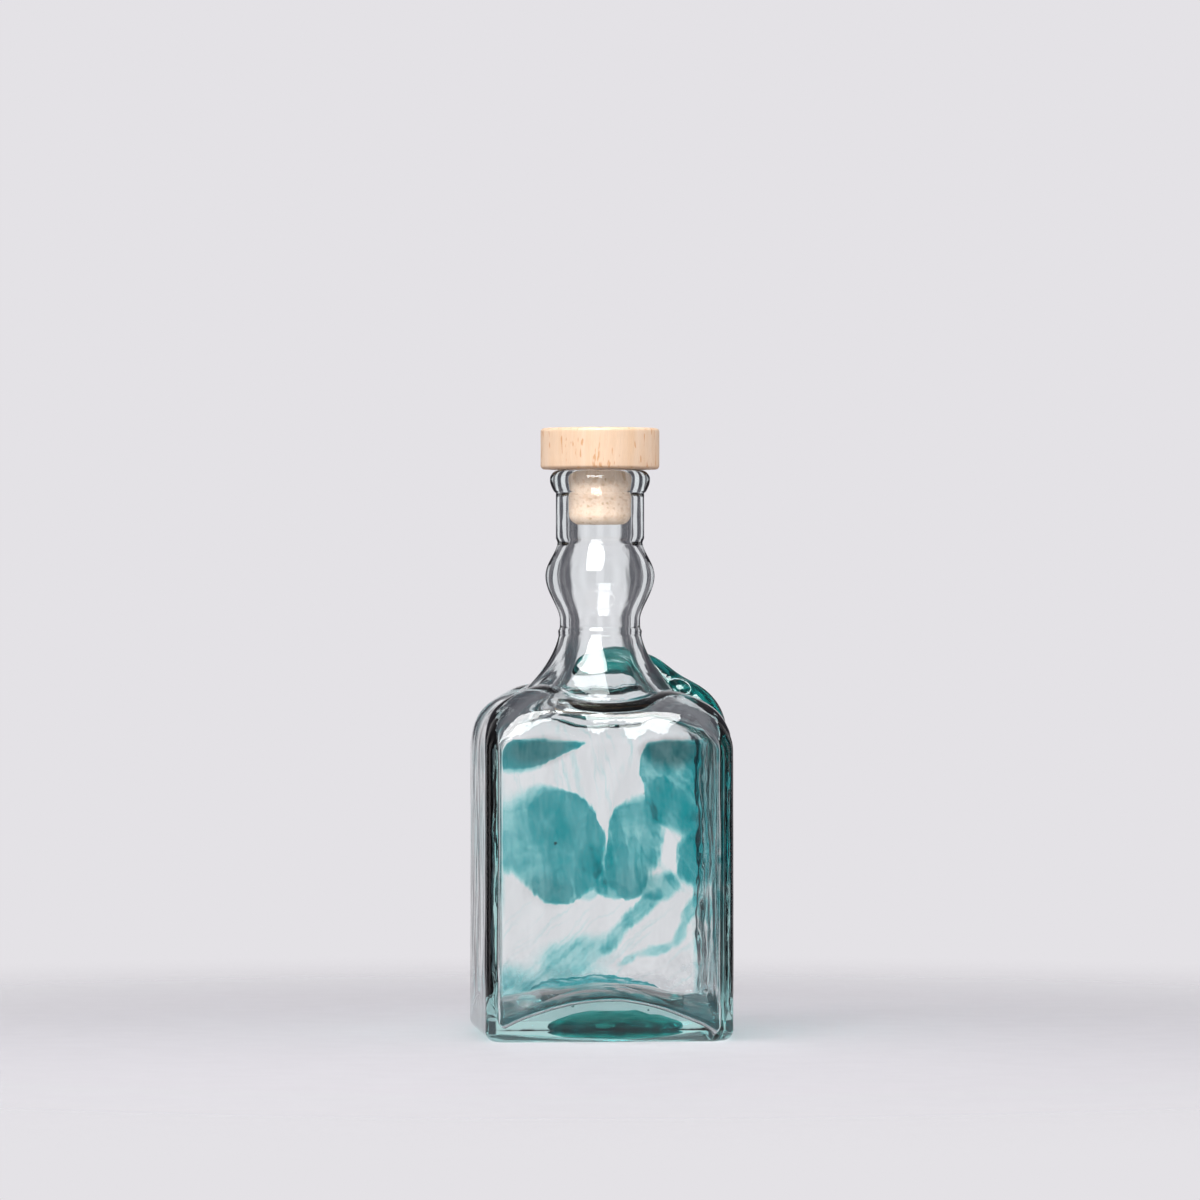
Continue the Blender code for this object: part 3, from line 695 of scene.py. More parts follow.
@dataclass(frozen=True)
class Beech:
    """Steamed beech, turned and fine-sanded, left bare.

    Pale straw-pink wood with faint upright growth bands, and the short darker ray flecks that tell
    the eye it is beech. Its colour goes darker brown along the lower edge.
    """

    pale: str = "#F8D9BC"
    warm: str = "#F2CCA6"
    fleck: str = "#DF9E62"
    lower_edge_tone: str = "#9A6A48"
    lower_edge_z: Span = (210.5, 209.5)
    lower_edge_depth: float = 0.6
    warp: Span = (0.05, 3.0)
    bands: Grain = Grain(0.42, 3.0, 0.3, stretch=(1.0, 0.35, 0.06))
    band_gloss: Blend = (0.3, 0.7, 0.38, 0.48)
    rays: Grain = Grain(1.0, 1.5, stretch=(0.85, 0.85, 0.19))
    ray_limit: float = 0.70
    ray_crowds: Grain = Grain(0.2, 1.0)
    ray_crowding: float = 0.16
    ray_marks: Blend = (0.0, 0.07, 0.0, 0.75)
    fibres: Grain = Grain(1.4, stretch=(5.0, 5.0, 0.25))
    fibre_tone: Blend = (0.3, 0.7, 0.95, 1.03)
    relief: float = 0.03 * MM

    def build(self) -> Material:
        """Make the wood with its bands, flecks and satin relief.

        Returns:
            The material.
        """
        material, tree = new_material("sanded_beech")
        place = place_mm(tree)
        bent = warped(place, *self.warp)
        bands = self.bands.over(bent)
        shade = add(tree, "ValToRGB", (bands,), stops=((0.30, self.pale), (0.72, self.warm)))
        limit = self.ray_limit - self.ray_crowds.over(place) * self.ray_crowding
        marks = add(tree, "MapRange", (self.rays.over(bent) - limit, *self.ray_marks), **EASED)
        shade = add(tree, "Mix", {0: marks, 6: shade, 7: self.fleck}, 2, data_type="RGBA")
        height = add(tree, "SeparateXYZ", (place,)).also(2)
        # Darker brown towards the lower edge of the disc.
        low = add(tree, "MapRange", (height, *self.lower_edge_z, 0.0, self.lower_edge_depth), **EASED)
        shade = add(tree, "Mix", {0: low, 6: shade, 7: self.lower_edge_tone}, 2, data_type="RGBA")
        fibres = self.fibres.over(place)
        fine = add(tree, "MapRange", (fibres, *self.fibre_tone), **EASED)
        relief = fibres * 0.5 - marks
        inputs = {
            "Base Color": add(tree, "VectorMath", {0: shade, "Scale": fine}, operation="SCALE"),
            "Roughness": add(tree, "MapRange", (bands, *self.band_gloss), **EASED),
            "Normal": add(tree, "Bump", {"Height": relief, "Distance": self.relief}),
        }
        add(tree, "OutputMaterial", (add(tree, "BsdfPrincipled", inputs),))
        return material


@dataclass(frozen=True)
class PressedCork:
    """Fine granulated cork, moulded and ground, matt.

    Grains of under a millimetre in close pale tans, with a few darker ones and tiny pits between.
    """

    pale: str = "#F3D7C1"
    warm: str = "#E9C6A8"
    dark: str = "#D6AF8B"
    grains_per_mm: float = 1.25
    grain_warp: Span = (0.8, 0.5)
    seams: Blend = (0.0, 0.07, 0.95, 1.0)
    pits: Grain = Grain(1.3, low=0.72, high=0.80, thin=1.0, thick=0.80)
    roughness: float = 0.88
    relief: float = 0.12 * MM

    def build(self) -> Material:
        """Make the cork with its grains and pits.

        Returns:
            The material.
        """
        material, tree = new_material("fine_pressed_cork")
        place = place_mm(tree)
        cells = {"Vector": warped(place, *self.grain_warp), "Scale": self.grains_per_mm}
        tone = add(tree, "SeparateColor", (add(tree, "TexVoronoi", cells, "Color"),))
        stops = ((0.0, self.warm), (0.35, self.pale), (0.86, self.pale), (1.0, self.dark))
        ground = add(tree, "ValToRGB", (tone,), stops=stops)
        edge = add(tree, "TexVoronoi", cells, "Distance", feature="DISTANCE_TO_EDGE")
        shade = add(tree, "MapRange", (edge, *self.seams), **EASED) * self.pits.shade(place)
        inputs = {
            "Base Color": add(tree, "VectorMath", {0: ground, "Scale": shade}, operation="SCALE"),
            "Roughness": self.roughness,
            "Normal": add(tree, "Bump", {"Height": shade, "Distance": self.relief}),
        }
        add(tree, "OutputMaterial", (add(tree, "BsdfPrincipled", inputs),))
        return material


@dataclass(frozen=True)
class DriedGlue:
    """White wood glue, dried to a cream film with a dull skin."""

    cream: str = "#EBE3CF"
    dull: str = "#DCCFB4"
    lumps: Grain = Grain(0.7, 3.0)
    roughness: float = 0.42
    relief: float = 0.05 * MM

    def build(self) -> Material:
        """Make the glue with a slightly uneven tone and skin.

        Returns:
            The material.
        """
        material, tree = new_material("dried_wood_glue")
        lumps = self.lumps.over(place_mm(tree))
        inputs = {
            "Base Color": add(tree, "ValToRGB", (lumps,), stops=((0.3, self.dull), (0.7, self.cream))),
            "Roughness": self.roughness,
            "Normal": add(tree, "Bump", {"Height": lumps, "Distance": self.relief}),
        }
        add(tree, "OutputMaterial", (add(tree, "BsdfPrincipled", inputs),))
        return material


# Shapes


@dataclass(frozen=True)
class Wave:
    """Smooth random relief: its height, wavelength and seed, and how much longer it is along Z."""

    height: float
    length: float
    seed: float
    stretch: float = 1.0

    def at(self, point: Vector) -> float:
        """Height of the relief at a point, to either side of none."""
        place = Vector((point.x, point.y, point.z / self.stretch)) / self.length
        return self.height * noise.noise(place + Vector((self.seed, -self.seed, 2.0 * self.seed)))


def to_object(bm: BMesh, name: str, material: Material) -> Object:
    """Turn finished mesh data into a smooth object at the origin.

    Args:
        bm: The mesh data, which is freed.
        name: The piece's name.
        material: Its finish.

    Returns:
        The new object.
    """
    mesh = bpy.data.meshes.new(name)
    bm.to_mesh(mesh)
    bm.free()
    mesh.materials.append(material)
    mesh.polygons.foreach_set("use_smooth", [True] * len(mesh.polygons))
    piece = bpy.data.objects.new(name, mesh)
    bpy.context.scene.collection.objects.link(piece)
    return piece


def baked(piece: Object) -> Object:
    """Apply a piece's modifiers, or a curve's shape.

    Args:
        piece: The piece or curve, which is removed.

    Returns:
        The mesh object made from it.
    """
    name = piece.name
    seen = piece.evaluated_get(bpy.context.evaluated_depsgraph_get())
    mesh = bpy.data.meshes.new_from_object(seen)
    bpy.data.objects.remove(piece)
    mesh.name = name
    final = bpy.data.objects.new(name, mesh)
    bpy.context.scene.collection.objects.link(final)
    return final


def spread(count: int) -> list[float]:
    """Even shares from just above 0 up to 1."""
    return [(i + 1) / count for i in range(count)]


def between(start: float, end: float, share: float) -> float:
    """Value at a share of the way from start to end."""
    return start + (end - start) * share


def part(value: float, start: float, end: float) -> float:
    """Share of the way from start to end that a value has come, from 0 to 1."""
    return min(1.0, max(0.0, (value - start) / (end - start)))


def arc(x: float, z: float, radius: float, start: float, end: float, steps: int) -> list[Span]:
    """Points of an arc in a turned profile, with its angles in degrees."""
    turns = [math.radians(between(start, end, i / steps)) for i in range(steps + 1)]
    return [(x + radius * math.cos(turn), z + radius * math.sin(turn)) for turn in turns]


def turned(profile: list[Span], steps: int) -> BMesh:
    """Spin a closed profile round +Z.

    Args:
        profile: Points as radius and height, from the axis round to the axis.
        steps: Steps round the axis.

    Returns:
        The closed mesh data with its normals outward.
    """
    bm = bmesh.new()
    verts = [bm.verts.new((x, 0.0, z)) for x, z in profile]
    edges = [bm.edges.new(pair) for pair in zip(verts, verts[1:])]
    bmesh.ops.spin(
        bm, geom=verts + edges, cent=(0, 0, 0), axis=(0, 0, 1), angle=math.tau, steps=steps, use_merge=True
    )
    bmesh.ops.remove_doubles(bm, verts=bm.verts, dist=1.0e-6)
    bmesh.ops.recalc_face_normals(bm, faces=bm.faces)
    return bm


def off_face(angle: float) -> float:
    """Angle between a direction and the nearest of the four faces."""
    return abs((angle + QUARTER / 2) % QUARTER - QUARTER / 2)


# The glass bottle


@dataclass(frozen=True)
class Section:
    """One level of the bottle's skin: a rounded square, or a circle where corner equals half.

    Its lift rises in the corners alone, or along the whole of each face where it is arched.
    """

    half: float
    corner: float
    z: float
    left_lift: float = 0.0
    right_lift: float = 0.0
    arched: bool = False

    def radius(self, angle: float) -> float:
        """Distance from the axis to the skin.

        Args:
            angle: The direction round the axis, from +X.

        Returns:
            The distance, along the straight face or round the corner.
        """
        off = off_face(angle)
        straight = self.half - self.corner
        if math.tan(off) * self.half <= straight:
            return self.half / math.cos(off)
        both = straight * (math.cos(off) + math.sin(off))
        return both + math.sqrt(max(both * both - 2 * straight**2 + self.corner**2, 0.0))

    def point(self, angle: float) -> Vector:
        """Point of the skin, with its lift.

        Args:
            angle: The direction round the axis, from +X.

        Returns:
            The point.
        """
        radius = self.radius(angle)
        lift = self.right_lift if math.cos(angle) > 0 else self.left_lift
        share = math.tan(off_face(angle)) ** 2 if self.arched else abs(math.sin(2 * angle)) ** 4
        return Vector((radius * math.cos(angle), radius * math.sin(angle), self.z + lift * share))


def circle(radius: float, z: float) -> Section:
    """A round section."""
    return Section(radius, radius, z)


def bulge(waist: float, bulb: float, heights: Span, count: int, opens: bool) -> list[Section]:
    """Round sections between a waist and a bulb.

    Args:
        waist: Radius at the waist.
        bulb: Radius at the bulb.
        heights: Heights that the sections start from and end at.
        count: How many sections there are.
        opens: Whether they start from the waist.

    Returns:
        The sections, without the one at the start.
    """
    rows = []
    for share in spread(count):
        turn = math.pi * (share if opens else 1.0 - share)
        radius = between(waist, bulb, (0.5 - 0.5 * math.cos(turn)) ** 0.8)
        rows.append(circle(radius, between(*heights, share)))
    return rows


@dataclass(frozen=True)
class Bubble:
    """A seed bubble shut in the glass, as its centre and radius."""

    x: float
    y: float
    z: float
    radius: float


@dataclass(frozen=True)
class GlassBottle:
    """The blown bottle: outer skin, inner skin, relief and seed bubbles."""

    half: float = 0.0455
    corner: float = 0.0055
    inner_corner: float = 0.0012
    foot: float = 0.0045
    wall: float = 0.0050
    wall_top: float = 0.1060
    shoulder_rise: float = 0.0183
    left_lift: float = 0.0057
    right_lift: float = 0.0036
    flare_radius: float = 0.0320
    flare_bore: float = 0.0287
    flare_rise: float = 0.0277
    flare_power: float = 1.9
    flare_steps: int = 26
    waist_radius: float = 0.0149
    waist_bore: float = 0.0112
    waist_z: float = 0.1525
    mark_z: float = 0.1496
    mark_height: float = 0.0004
    mark_below: float = 0.0005
    mark_above: float = 0.0006
    mark_steps: Span = (3.2, 2.0)
    bulb_foot_z: float = 0.1540
    bulb_z: float = 0.1700
    bulb_radius: float = 0.0203
    bulb_bore: float = 0.0156
    groove_z: float = 0.1822
    groove_radius: float = 0.0158
    groove_rounding: float = 0.0003
    groove_rise: float = 0.0009
    neck_z: float = 0.1838
    neck_radius: float = 0.0164
    lip_z: float = 0.2006
    lip_step: float = 0.0006
    lip_radius: float = 0.0186
    lip_widest_z: float = 0.2056
    lip_top_z: float = 0.2090
    bore: float = 0.01205
    bore_foot_z: float = 0.1834
    mouth_rounding: float = 0.0010
    floor_centre: float = 0.0186
    floor_at_face: float = 0.0146
    floor_at_left: float = 0.0050
    floor_at_right: float = 0.0032
    floor_fillet: float = 0.0022
    floor_middle: float = 0.0004
    punt_radius: float = 0.0290
    punt_depth: float = 0.0010
    standing_rings: tuple[Span, ...] = ((0.0345, 0.0200), (0.0385, 0.0120))
    face_spans: int = 15
    corner_spans: int = 10
    relief_radii: Span = (0.018, 0.038)
    outer_relief: Span = (0.00008, 0.00038)
    outer_waves: tuple[Wave, ...] = (Wave(0.35, 0.026, 3.1, 2.2), Wave(0.15, 0.009, 8.3, 1.6))
    outer_foot_z: Span = (0.0005, 0.0065)
    inner_relief: Span = (0.00006, 0.00040)
    inner_waves: tuple[Wave, ...] = (Wave(0.6, 0.019, 5.7, 1.7), Wave(0.4, 0.0075, 1.9, 1.8))
    inner_top_z: Span = (0.184, 0.178)
    floor_chop: Wave = Wave(0.00022, 0.0045, 7.7)
    floor_chop_z: Span = (0.030, 0.018)
    bubbles: tuple[Bubble, ...] = (
        Bubble(-0.0128, 0.0428, 0.0695, 0.00075),
        Bubble(0.0190, 0.0431, 0.0880, 0.00028),
        Bubble(-0.0310, 0.0428, 0.0490, 0.00022),
        Bubble(0.0080, -0.0431, 0.0310, 0.00020),
        Bubble(-0.0120, -0.0120, 0.0120, 0.00045),
        Bubble(0.0170, 0.0060, 0.0100, 0.00036),
        Bubble(0.0020, 0.0200, 0.0085, 0.00030),
        Bubble(0.0250, -0.0220, 0.0060, 0.00025),
        Bubble(-0.0135, 0.0020, 0.1930, 0.00025),
        Bubble(0.0120, -0.0080, 0.1600, 0.00022),
    )

    def angles(self) -> list[float]:
        """Directions round the bottle, closer together across its upright corners.

        Returns:
            The angles from +X, all the way round.
        """
        start = math.atan2(self.half - self.corner, self.half)
        eighth = [start * i / self.face_spans for i in range(self.face_spans)]
        eighth += [between(start, QUARTER / 2, i / self.corner_spans) for i in range(self.corner_spans)]
        quarter = eighth + [QUARTER / 2] + [QUARTER - a for a in reversed(eighth[1:])]
        return [a + turn * QUARTER for turn in range(4) for a in quarter]

    def shoulder(self, turn: float, inner: bool) -> Section:
        """Section on the shoulder.

        Args:
            turn: Share of the way from the wall's top to the flare's foot.
            inner: Whether it is on the inner skin.

        Returns:
            The section.
        """
        wide = self.half - (self.wall if inner else 0.0)
        foot = self.flare_bore if inner else self.flare_radius
        upright = self.inner_corner if inner else self.corner
        rise = self.shoulder_rise - (self.wall if inner else 0.0)
        across, up = math.cos(turn * QUARTER), math.sin(turn * QUARTER)
        lifts = (self.left_lift * up, self.right_lift * up)
        corner = between(upright, foot, up**1.5)
        return Section(between(foot, wide, across), corner, self.wall_top + rise * up, *lifts)

    def flare(self, climb: float, inner: bool) -> Section:
        """Section on the neck's flare.

        Args:
            climb: Share of the way from its foot to the waist.
            inner: Whether it is on the inner skin.

        Returns:
            The section.
        """
        foot = self.flare_bore if inner else self.flare_radius
        waist = self.waist_bore if inner else self.waist_radius
        top = self.wall_top + self.shoulder_rise + self.flare_rise
        foot_z = self.wall_top + self.shoulder_rise - (self.wall if inner else 0.0)
        left = 1.0 - climb
        radius = between(waist, foot, left**self.flare_power)
        z = between(foot_z, top, climb)
        return Section(radius, radius, z, self.left_lift * left**2, self.right_lift * left**2)

    def underside(self) -> list[Section]:
        """Sections from the middle of the shallow hollow under the base out to the standing face."""
        shares = (0.02, 0.3, 0.6, 0.85, 1.0)
        rows = [circle(self.punt_radius * s, self.punt_depth * (1.0 - s**2)) for s in shares]
        return rows + [Section(half, corner, 0.0) for half, corner in self.standing_rings]

    def outer_body(self) -> list[Section]:
        """Skin from the standing face to the waist, with the tool mark under it.

        Returns:
            The sections, from the lowest up.
        """
        rows = []
        for share in [0.0] + spread(8):
            turn = share * QUARTER
            half = self.half - self.foot * (1.0 - math.sin(turn))
            rows.append(Section(half, self.corner * half / self.half, self.foot * (1.0 - math.cos(turn))))
        rows += [Section(self.half, self.corner, between(self.foot, self.wall_top, s)) for s in spread(44)]
        rows += [self.shoulder(share, False) for share in spread(22)]
        steps = self.flare_steps
        rows += [self.flare(share, False) for share in spread(steps)[: steps - 4]]
        under, over = (self.flare((steps - down) / steps, False).half for down in self.mark_steps)
        rows.append(circle(under + self.mark_height * 0.7, self.mark_z - self.mark_below))
        rows.append(circle(under + self.mark_height, self.mark_z))
        rows.append(circle(over + self.mark_height * 0.4, self.mark_z + self.mark_above))
        rows.append(self.flare((steps - 1) / steps, False))
        return rows + [circle(self.waist_radius, z) for z in (self.waist_z, self.bulb_foot_z)]

    def outer_neck(self) -> list[Section]:
        """Skin of the bulb, the groove, the neck and the lip.

        Returns:
            The sections, from the bulb's foot up to the lip's top.
        """
        rows = bulge(self.waist_radius, self.bulb_radius, (self.bulb_foot_z, self.bulb_z), 20, True)
        rows += bulge(self.groove_radius, self.bulb_radius, (self.bulb_z, self.groove_z), 16, False)
        rows.append(circle(self.groove_radius + self.groove_rounding, self.groove_z + self.groove_rise))
        rows += [circle(self.neck_radius, between(self.neck_z, self.lip_z, s)) for s in [0.0] + spread(10)]
        step = self.neck_radius + self.lip_step
        step_z = self.lip_z + self.lip_step / 2
        rows.append(circle(step, step_z))
        for share in spread(9):
            radius = between(step, self.lip_radius, math.sin(share * QUARTER))
            rows.append(circle(radius, between(step_z, self.lip_widest_z, share)))
        high = self.lip_top_z - self.lip_widest_z
        for share in spread(9):
            turn = share * QUARTER
            radius = self.lip_radius - high * (1.0 - math.cos(turn))
            rows.append(circle(radius, self.lip_widest_z + high * math.sin(turn)))
        return rows

    def inner_neck(self) -> list[Section]:
        """Skin inside the mouth, the neck and the shoulder.

        Returns:
            The sections, from the mouth down to the top of the wall.
        """
        rows = []
        for share in [0.0] + spread(5):
            turn = share * QUARTER
            radius = self.bore + self.mouth_rounding * (1.0 - math.sin(turn))
            rows.append(circle(radius, self.lip_top_z - self.mouth_rounding * (1.0 - math.cos(turn))))
        foot = self.lip_top_z - self.mouth_rounding
        rows += [circle(self.bore, between(foot, self.bore_foot_z, s)) for s in spread(8)]
        rows += bulge(self.bore, self.bulb_bore, (self.bore_foot_z, self.bulb_z), 12, True)
        rows += bulge(self.waist_bore, self.bulb_bore, (self.bulb_z, self.bulb_foot_z), 14, False)
        rows += [self.flare(1.0 - share, True) for share in spread(24)]
        return rows + [self.shoulder(1.0 - share, True) for share in spread(20)]

    def inner_body(self) -> list[Section]:
        """Skin of the inner wall and of the pushed-up floor.

        Returns:
            The sections, from the top of the wall down and in to the floor's middle.
        """
        rows = []
        half, corner = self.half - self.wall, self.inner_corner
        left = self.floor_at_left - self.floor_at_face
        right = self.floor_at_right - self.floor_at_face
        bend = self.floor_at_face + self.floor_fillet
        for share in spread(40):
            z = between(self.wall_top, bend, share)
            rows.append(Section(half, corner, z, left * share**3, right * share**3, True))
        for share in spread(8):
            turn = share * math.pi * 2 / 5
            inset = self.floor_fillet * (1.0 - math.cos(turn))
            z = bend - self.floor_fillet * math.sin(turn)
            rows.append(Section(half - inset, corner, z, left, right, True))
        edge = half - self.floor_fillet
        for share in reversed(spread(24)):
            dip = share**2
            z = between(self.floor_centre, self.floor_at_face, dip)
            rows.append(Section(edge * share, corner * share, z, left * dip, right * dip, True))
        return rows + [circle(self.floor_middle, self.floor_centre)]

    def relief(self, bm: BMesh, inner_from: int) -> None:
        """Give both skins the slow waves of blown glass, kept inside the plain shape outside.

        Args:
            bm: The bottle's mesh data, with its vertices in ring order.
            inner_from: Number of the first vertex of the inner skin.
        """
        bm.normal_update()
        moves = []
        for vert in bm.verts:
            place = vert.co
            wide = part(math.hypot(place.x, place.y), *self.relief_radii)
            if vert.index < inner_from:
                height = 0.5 + sum(wave.at(place) for wave in self.outer_waves)
                rise = part(place.z, *self.outer_foot_z)
                moves.append(-between(*self.outer_relief, wide) * max(height, 0.0) * rise)
            else:
                height = sum(wave.at(place) for wave in self.inner_waves)
                drawn_out = Vector((place.x / 3.0, place.y, place.z))
                chop = part(place.z, *self.floor_chop_z) * self.floor_chop.at(drawn_out)
                snug = part(place.z, *self.inner_top_z)
                moves.append((between(*self.inner_relief, wide) * height + chop) * snug)
        for vert, move in zip(bm.verts, moves):
            vert.co += vert.normal * move

    def seeds(self, bm: BMesh) -> None:
        """Add the seed bubbles as closed hollows, with their normals towards their middles.

        Args:
            bm: The bottle's mesh data.
        """
        longer = Matrix.Diagonal((1.15, 0.8, 0.9, 1.0))
        for bubble in self.bubbles:
            place = Matrix.Translation((bubble.x, bubble.y, bubble.z)) @ longer
            made = bmesh.ops.create_icosphere(bm, subdivisions=3, radius=bubble.radius, matrix=place)
            faces = {face for vert in made["verts"] for face in vert.link_faces}
            bmesh.ops.reverse_faces(bm, faces=list(faces))

    def build(self, material: Material) -> Object:
        """Loft the two skins as one closed solid.

        Args:
            material: The glass.

        Returns:
            The bottle's object.
        """
        angles = self.angles()
        outer = self.underside() + self.outer_body() + self.outer_neck()
        bm = bmesh.new()
        rings = []
        for section in outer + self.inner_neck() + self.inner_body():
            verts = bmesh.ops.create_circle(bm, segments=len(angles), radius=1.0)["verts"]
            for vert, angle in zip(verts, angles):
                vert.co = section.point(angle)
            rings.append(verts)
        loops = [list({edge for vert in ring for edge in vert.link_edges}) for ring in rings]
        for lower, upper in zip(loops, loops[1:]):
            bmesh.ops.bridge_loops(bm, edges=lower + upper)
        for cap in (loops[0], loops[-1]):
            bmesh.ops.edgeloop_fill(bm, edges=cap)
        bmesh.ops.recalc_face_normals(bm, faces=bm.faces)
        bm.verts.ensure_lookup_table()
        bm.verts.index_update()
        self.relief(bm, len(outer) * len(angles))
        self.seeds(bm)
        return to_object(bm, "blown_glass_bottle", material)


# The coloured glass


@dataclass(frozen=True)
class TrailPoint:
    """One point of the trail: direction in degrees, place on the skin, and shares of its bead."""

    azimuth: float
    place: float
    bead: float
    height: float


@dataclass(frozen=True)
class ShoulderTrail:
    """The thick thread of turquoise glass over the right shoulder, with its folded eye.

    The eye is a flat oval ring with a hollow and a knob inside it. It lies between two of the
    thread's points and faces its own way, and its skirt blends it into the thread. Its reaches are
    shares of its half length and half width, which end at the crest of the ring.
    """

    bottle: GlassBottle
    radius: float = 0.0058
    eye_from: int = 6
    eye_share: float = 0.45
    eye_face: Triple = (-0.18, -0.885, 0.43)
    eye_long: float = 0.0045
    eye_wide: float = 0.0027
    eye_level: float = -0.0002
    eye_skirt: float = 1.5
    eye_bead: float = 0.40
    eye_ring: float = 0.0004
    eye_hollow: float = 0.0011
    eye_knob: float = 0.0004
    eye_knob_reach: float = 0.22
    voxel: float = 0.00036
    points: tuple[TrailPoint, ...] = (
        TrailPoint(119, 1.27, 0.20, -0.03),
        TrailPoint(115, 1.28, 0.62, 0.10),
        TrailPoint(102, 1.31, 0.86, 0.24),
        TrailPoint(82, 1.36, 0.98, 0.38),
        TrailPoint(61, 1.37, 1.00, 0.46),
        TrailPoint(43, 1.26, 1.00, 0.54),
        TrailPoint(28, 1.06, 1.00, 0.16),
        TrailPoint(16, 0.79, 0.95, 0.17),
        TrailPoint(10, 0.49, 0.86, 0.00),
        TrailPoint(7, 0.22, 0.74, -0.135),
        TrailPoint(5, -0.02, 0.57, -0.285),
        TrailPoint(4, -0.08, 0.24, -0.17),
    )

    def section(self, place: float) -> Section:
        """Section of the bottle's outer skin.

        Args:
            place: Below 0 on the wall, 0 to 1 on the shoulder and 1 to 2 on the flare.

        Returns:
            The section.
        """
        if place > 1.0:
            return self.bottle.flare(place - 1.0, False)
        if place > 0.0:
            return self.bottle.shoulder(place, False)
        return Section(self.bottle.half, self.bottle.corner, self.bottle.wall_top * (1.0 + place))

    def outward(self, place: float, angle: float) -> Vector:
        """Outward direction of the skin.

        Args:
            place: The place on the skin, as for a section.
            angle: The direction round the axis.

        Returns:
            The direction, of length one.
        """
        small = 0.01
        here = self.section(place).point(angle)
        along = self.section(place + small).point(angle) - here
        around = self.section(place).point(angle + small) - here
        return around.cross(along).normalized()

    def centre(self, point: TrailPoint) -> Vector:
        """Centre of the thread at one of its points."""
        angle = math.radians(point.azimuth)
        rise = self.outward(point.place, angle) * point.height * self.radius
        return self.section(point.place).point(angle) + rise

    def thread(self) -> Object:
        """Draw the thread along its points.

        Returns:
            The closed mesh tube.
        """
        curve = bpy.data.curves.new("trail_thread", "CURVE")
        curve.dimensions = "3D"
        curve.bevel_depth = self.radius
        curve.bevel_resolution = 8
        curve.use_fill_caps = True
        curve.resolution_u = 10
        spline = curve.splines.new("NURBS")
        spline.points.add(len(self.points) - 1)
        for knot, point in zip(spline.points, self.points):
            knot.co = (*self.centre(point), 1.0)
            knot.radius = point.bead
        spline.order_u = 4
        spline.use_endpoint_u = True
        path = bpy.data.objects.new("trail_thread", curve)
        bpy.context.scene.collection.objects.link(path)
        return baked(path)

    def eye_rise(self, reach: float) -> float:
        """Height of the eye's relief.

        Args:
            reach: The distance from its middle, where 1 is the crest of its ring.

        Returns:
            The height over its level.
        """
        ring = self.eye_ring * math.exp(-(((reach - 1.0) / self.eye_bead) ** 2))
        knob = self.eye_knob * math.exp(-((reach / self.eye_knob_reach) ** 2))
        return ring - self.eye_hollow * max(0.0, 1.0 - reach) + knob

    def press_eye(self, mesh: Mesh) -> None:
        """Press the folded eye into the thread's front flank.

        Args:
            mesh: The thread's mesh.
        """
        bm = bmesh.new()
        bm.from_mesh(mesh)
        first, second = self.points[self.eye_from : self.eye_from + 2]
        start, end = self.centre(first), self.centre(second)
        out = Vector(self.eye_face).normalized()
        along = end - start
        along = (along - out * along.dot(out)).normalized()
        across = out.cross(along)
        middle = start.lerp(end, self.eye_share) + out * self.radius * (first.bead + second.bead) / 2
        near = []
        for vert in bm.verts:
            offset = vert.co - middle
            reach = math.hypot(offset.dot(along) / self.eye_long, offset.dot(across) / self.eye_wide)
            height = offset.dot(out)
            if height > -self.radius / 2 and reach < self.eye_skirt:
                share = part(reach, self.eye_skirt, 1.0)
                share = share * share * (3.0 - 2.0 * share)
                vert.co += out * (self.eye_level + self.eye_rise(reach) - height) * share
                near.append(vert)
        axes = {"use_axis_x": True, "use_axis_y": True, "use_axis_z": True}
        for _ in range(2):
            bmesh.ops.smooth_vert(bm, verts=near, factor=0.5, **axes)
        bm.to_mesh(mesh)
        bm.free()

    def build(self, material: Material) -> Object:
        """Melt the thread into one smooth piece and press its eye.

        Args:
            material: The deep glass.

        Returns:
            The trail's object.
        """
        thread = self.thread()
        bm = bmesh.new()
        bm.from_mesh(thread.data)
        bmesh.ops.remove_doubles(bm, verts=bm.verts, dist=1.0e-5)
        bpy.data.objects.remove(thread)
        piece = to_object(bm, "turquoise_glass_trail", material)
        melt = piece.modifiers.new("melt", "REMESH")
        melt.mode = "VOXEL"
        melt.voxel_size = self.voxel
        relax = piece.modifiers.new("relax", "SMOOTH")
        relax.factor = 0.5
        relax.iterations = 6
        piece = baked(piece)
        self.press_eye(piece.data)
        piece.data.polygons.foreach_set("use_smooth", [True] * len(piece.data.polygons))
        return piece


@dataclass(frozen=True)
class BasePool:
    """The dome of turquoise glass shut in the thick base, over the hollow underneath."""

    radius: float = 0.0270
    shift: float = 0.0040
    bottom: float = 0.0012
    rim: float = 0.0024
    height: float = 0.0098
    top_waves: Wave = Wave(0.0012, 0.0065, 9.2)
    outline_waves: Wave = Wave(0.07, 0.011, 4.4)
    steps: int = 96

    def build(self, material: Material) -> Object:
        """Spin the dome and give it a wavy top and a wandering outline.

        Args:
            material: The deep glass.

        Returns:
            The pool's object.
        """
        profile = [(self.radius * s, self.bottom) for s in (0.0, 0.3, 0.6, 0.85)]
        rise = self.height - self.rim
        for share in [0.0] + spread(24):
            turn = share * QUARTER
            profile.append((self.radius * math.cos(turn), self.bottom + self.rim + rise * math.sin(turn)))
        profile[-1] = (0.0, self.bottom + self.height)
        bm = turned(profile, self.steps)
        for vert in bm.verts:
            over = max(0.0, vert.co.z - self.bottom - self.rim) / rise
            vert.co.z -= over * (self.top_waves.height + self.top_waves.at(vert.co))
            shrink = self.outline_waves.height + self.outline_waves.at(vert.co)
            vert.co.x = vert.co.x * (1.0 - shrink) + self.shift
            vert.co.y *= 1.0 - shrink
        return to_object(bm, "turquoise_base_pool", material)


# The stopper


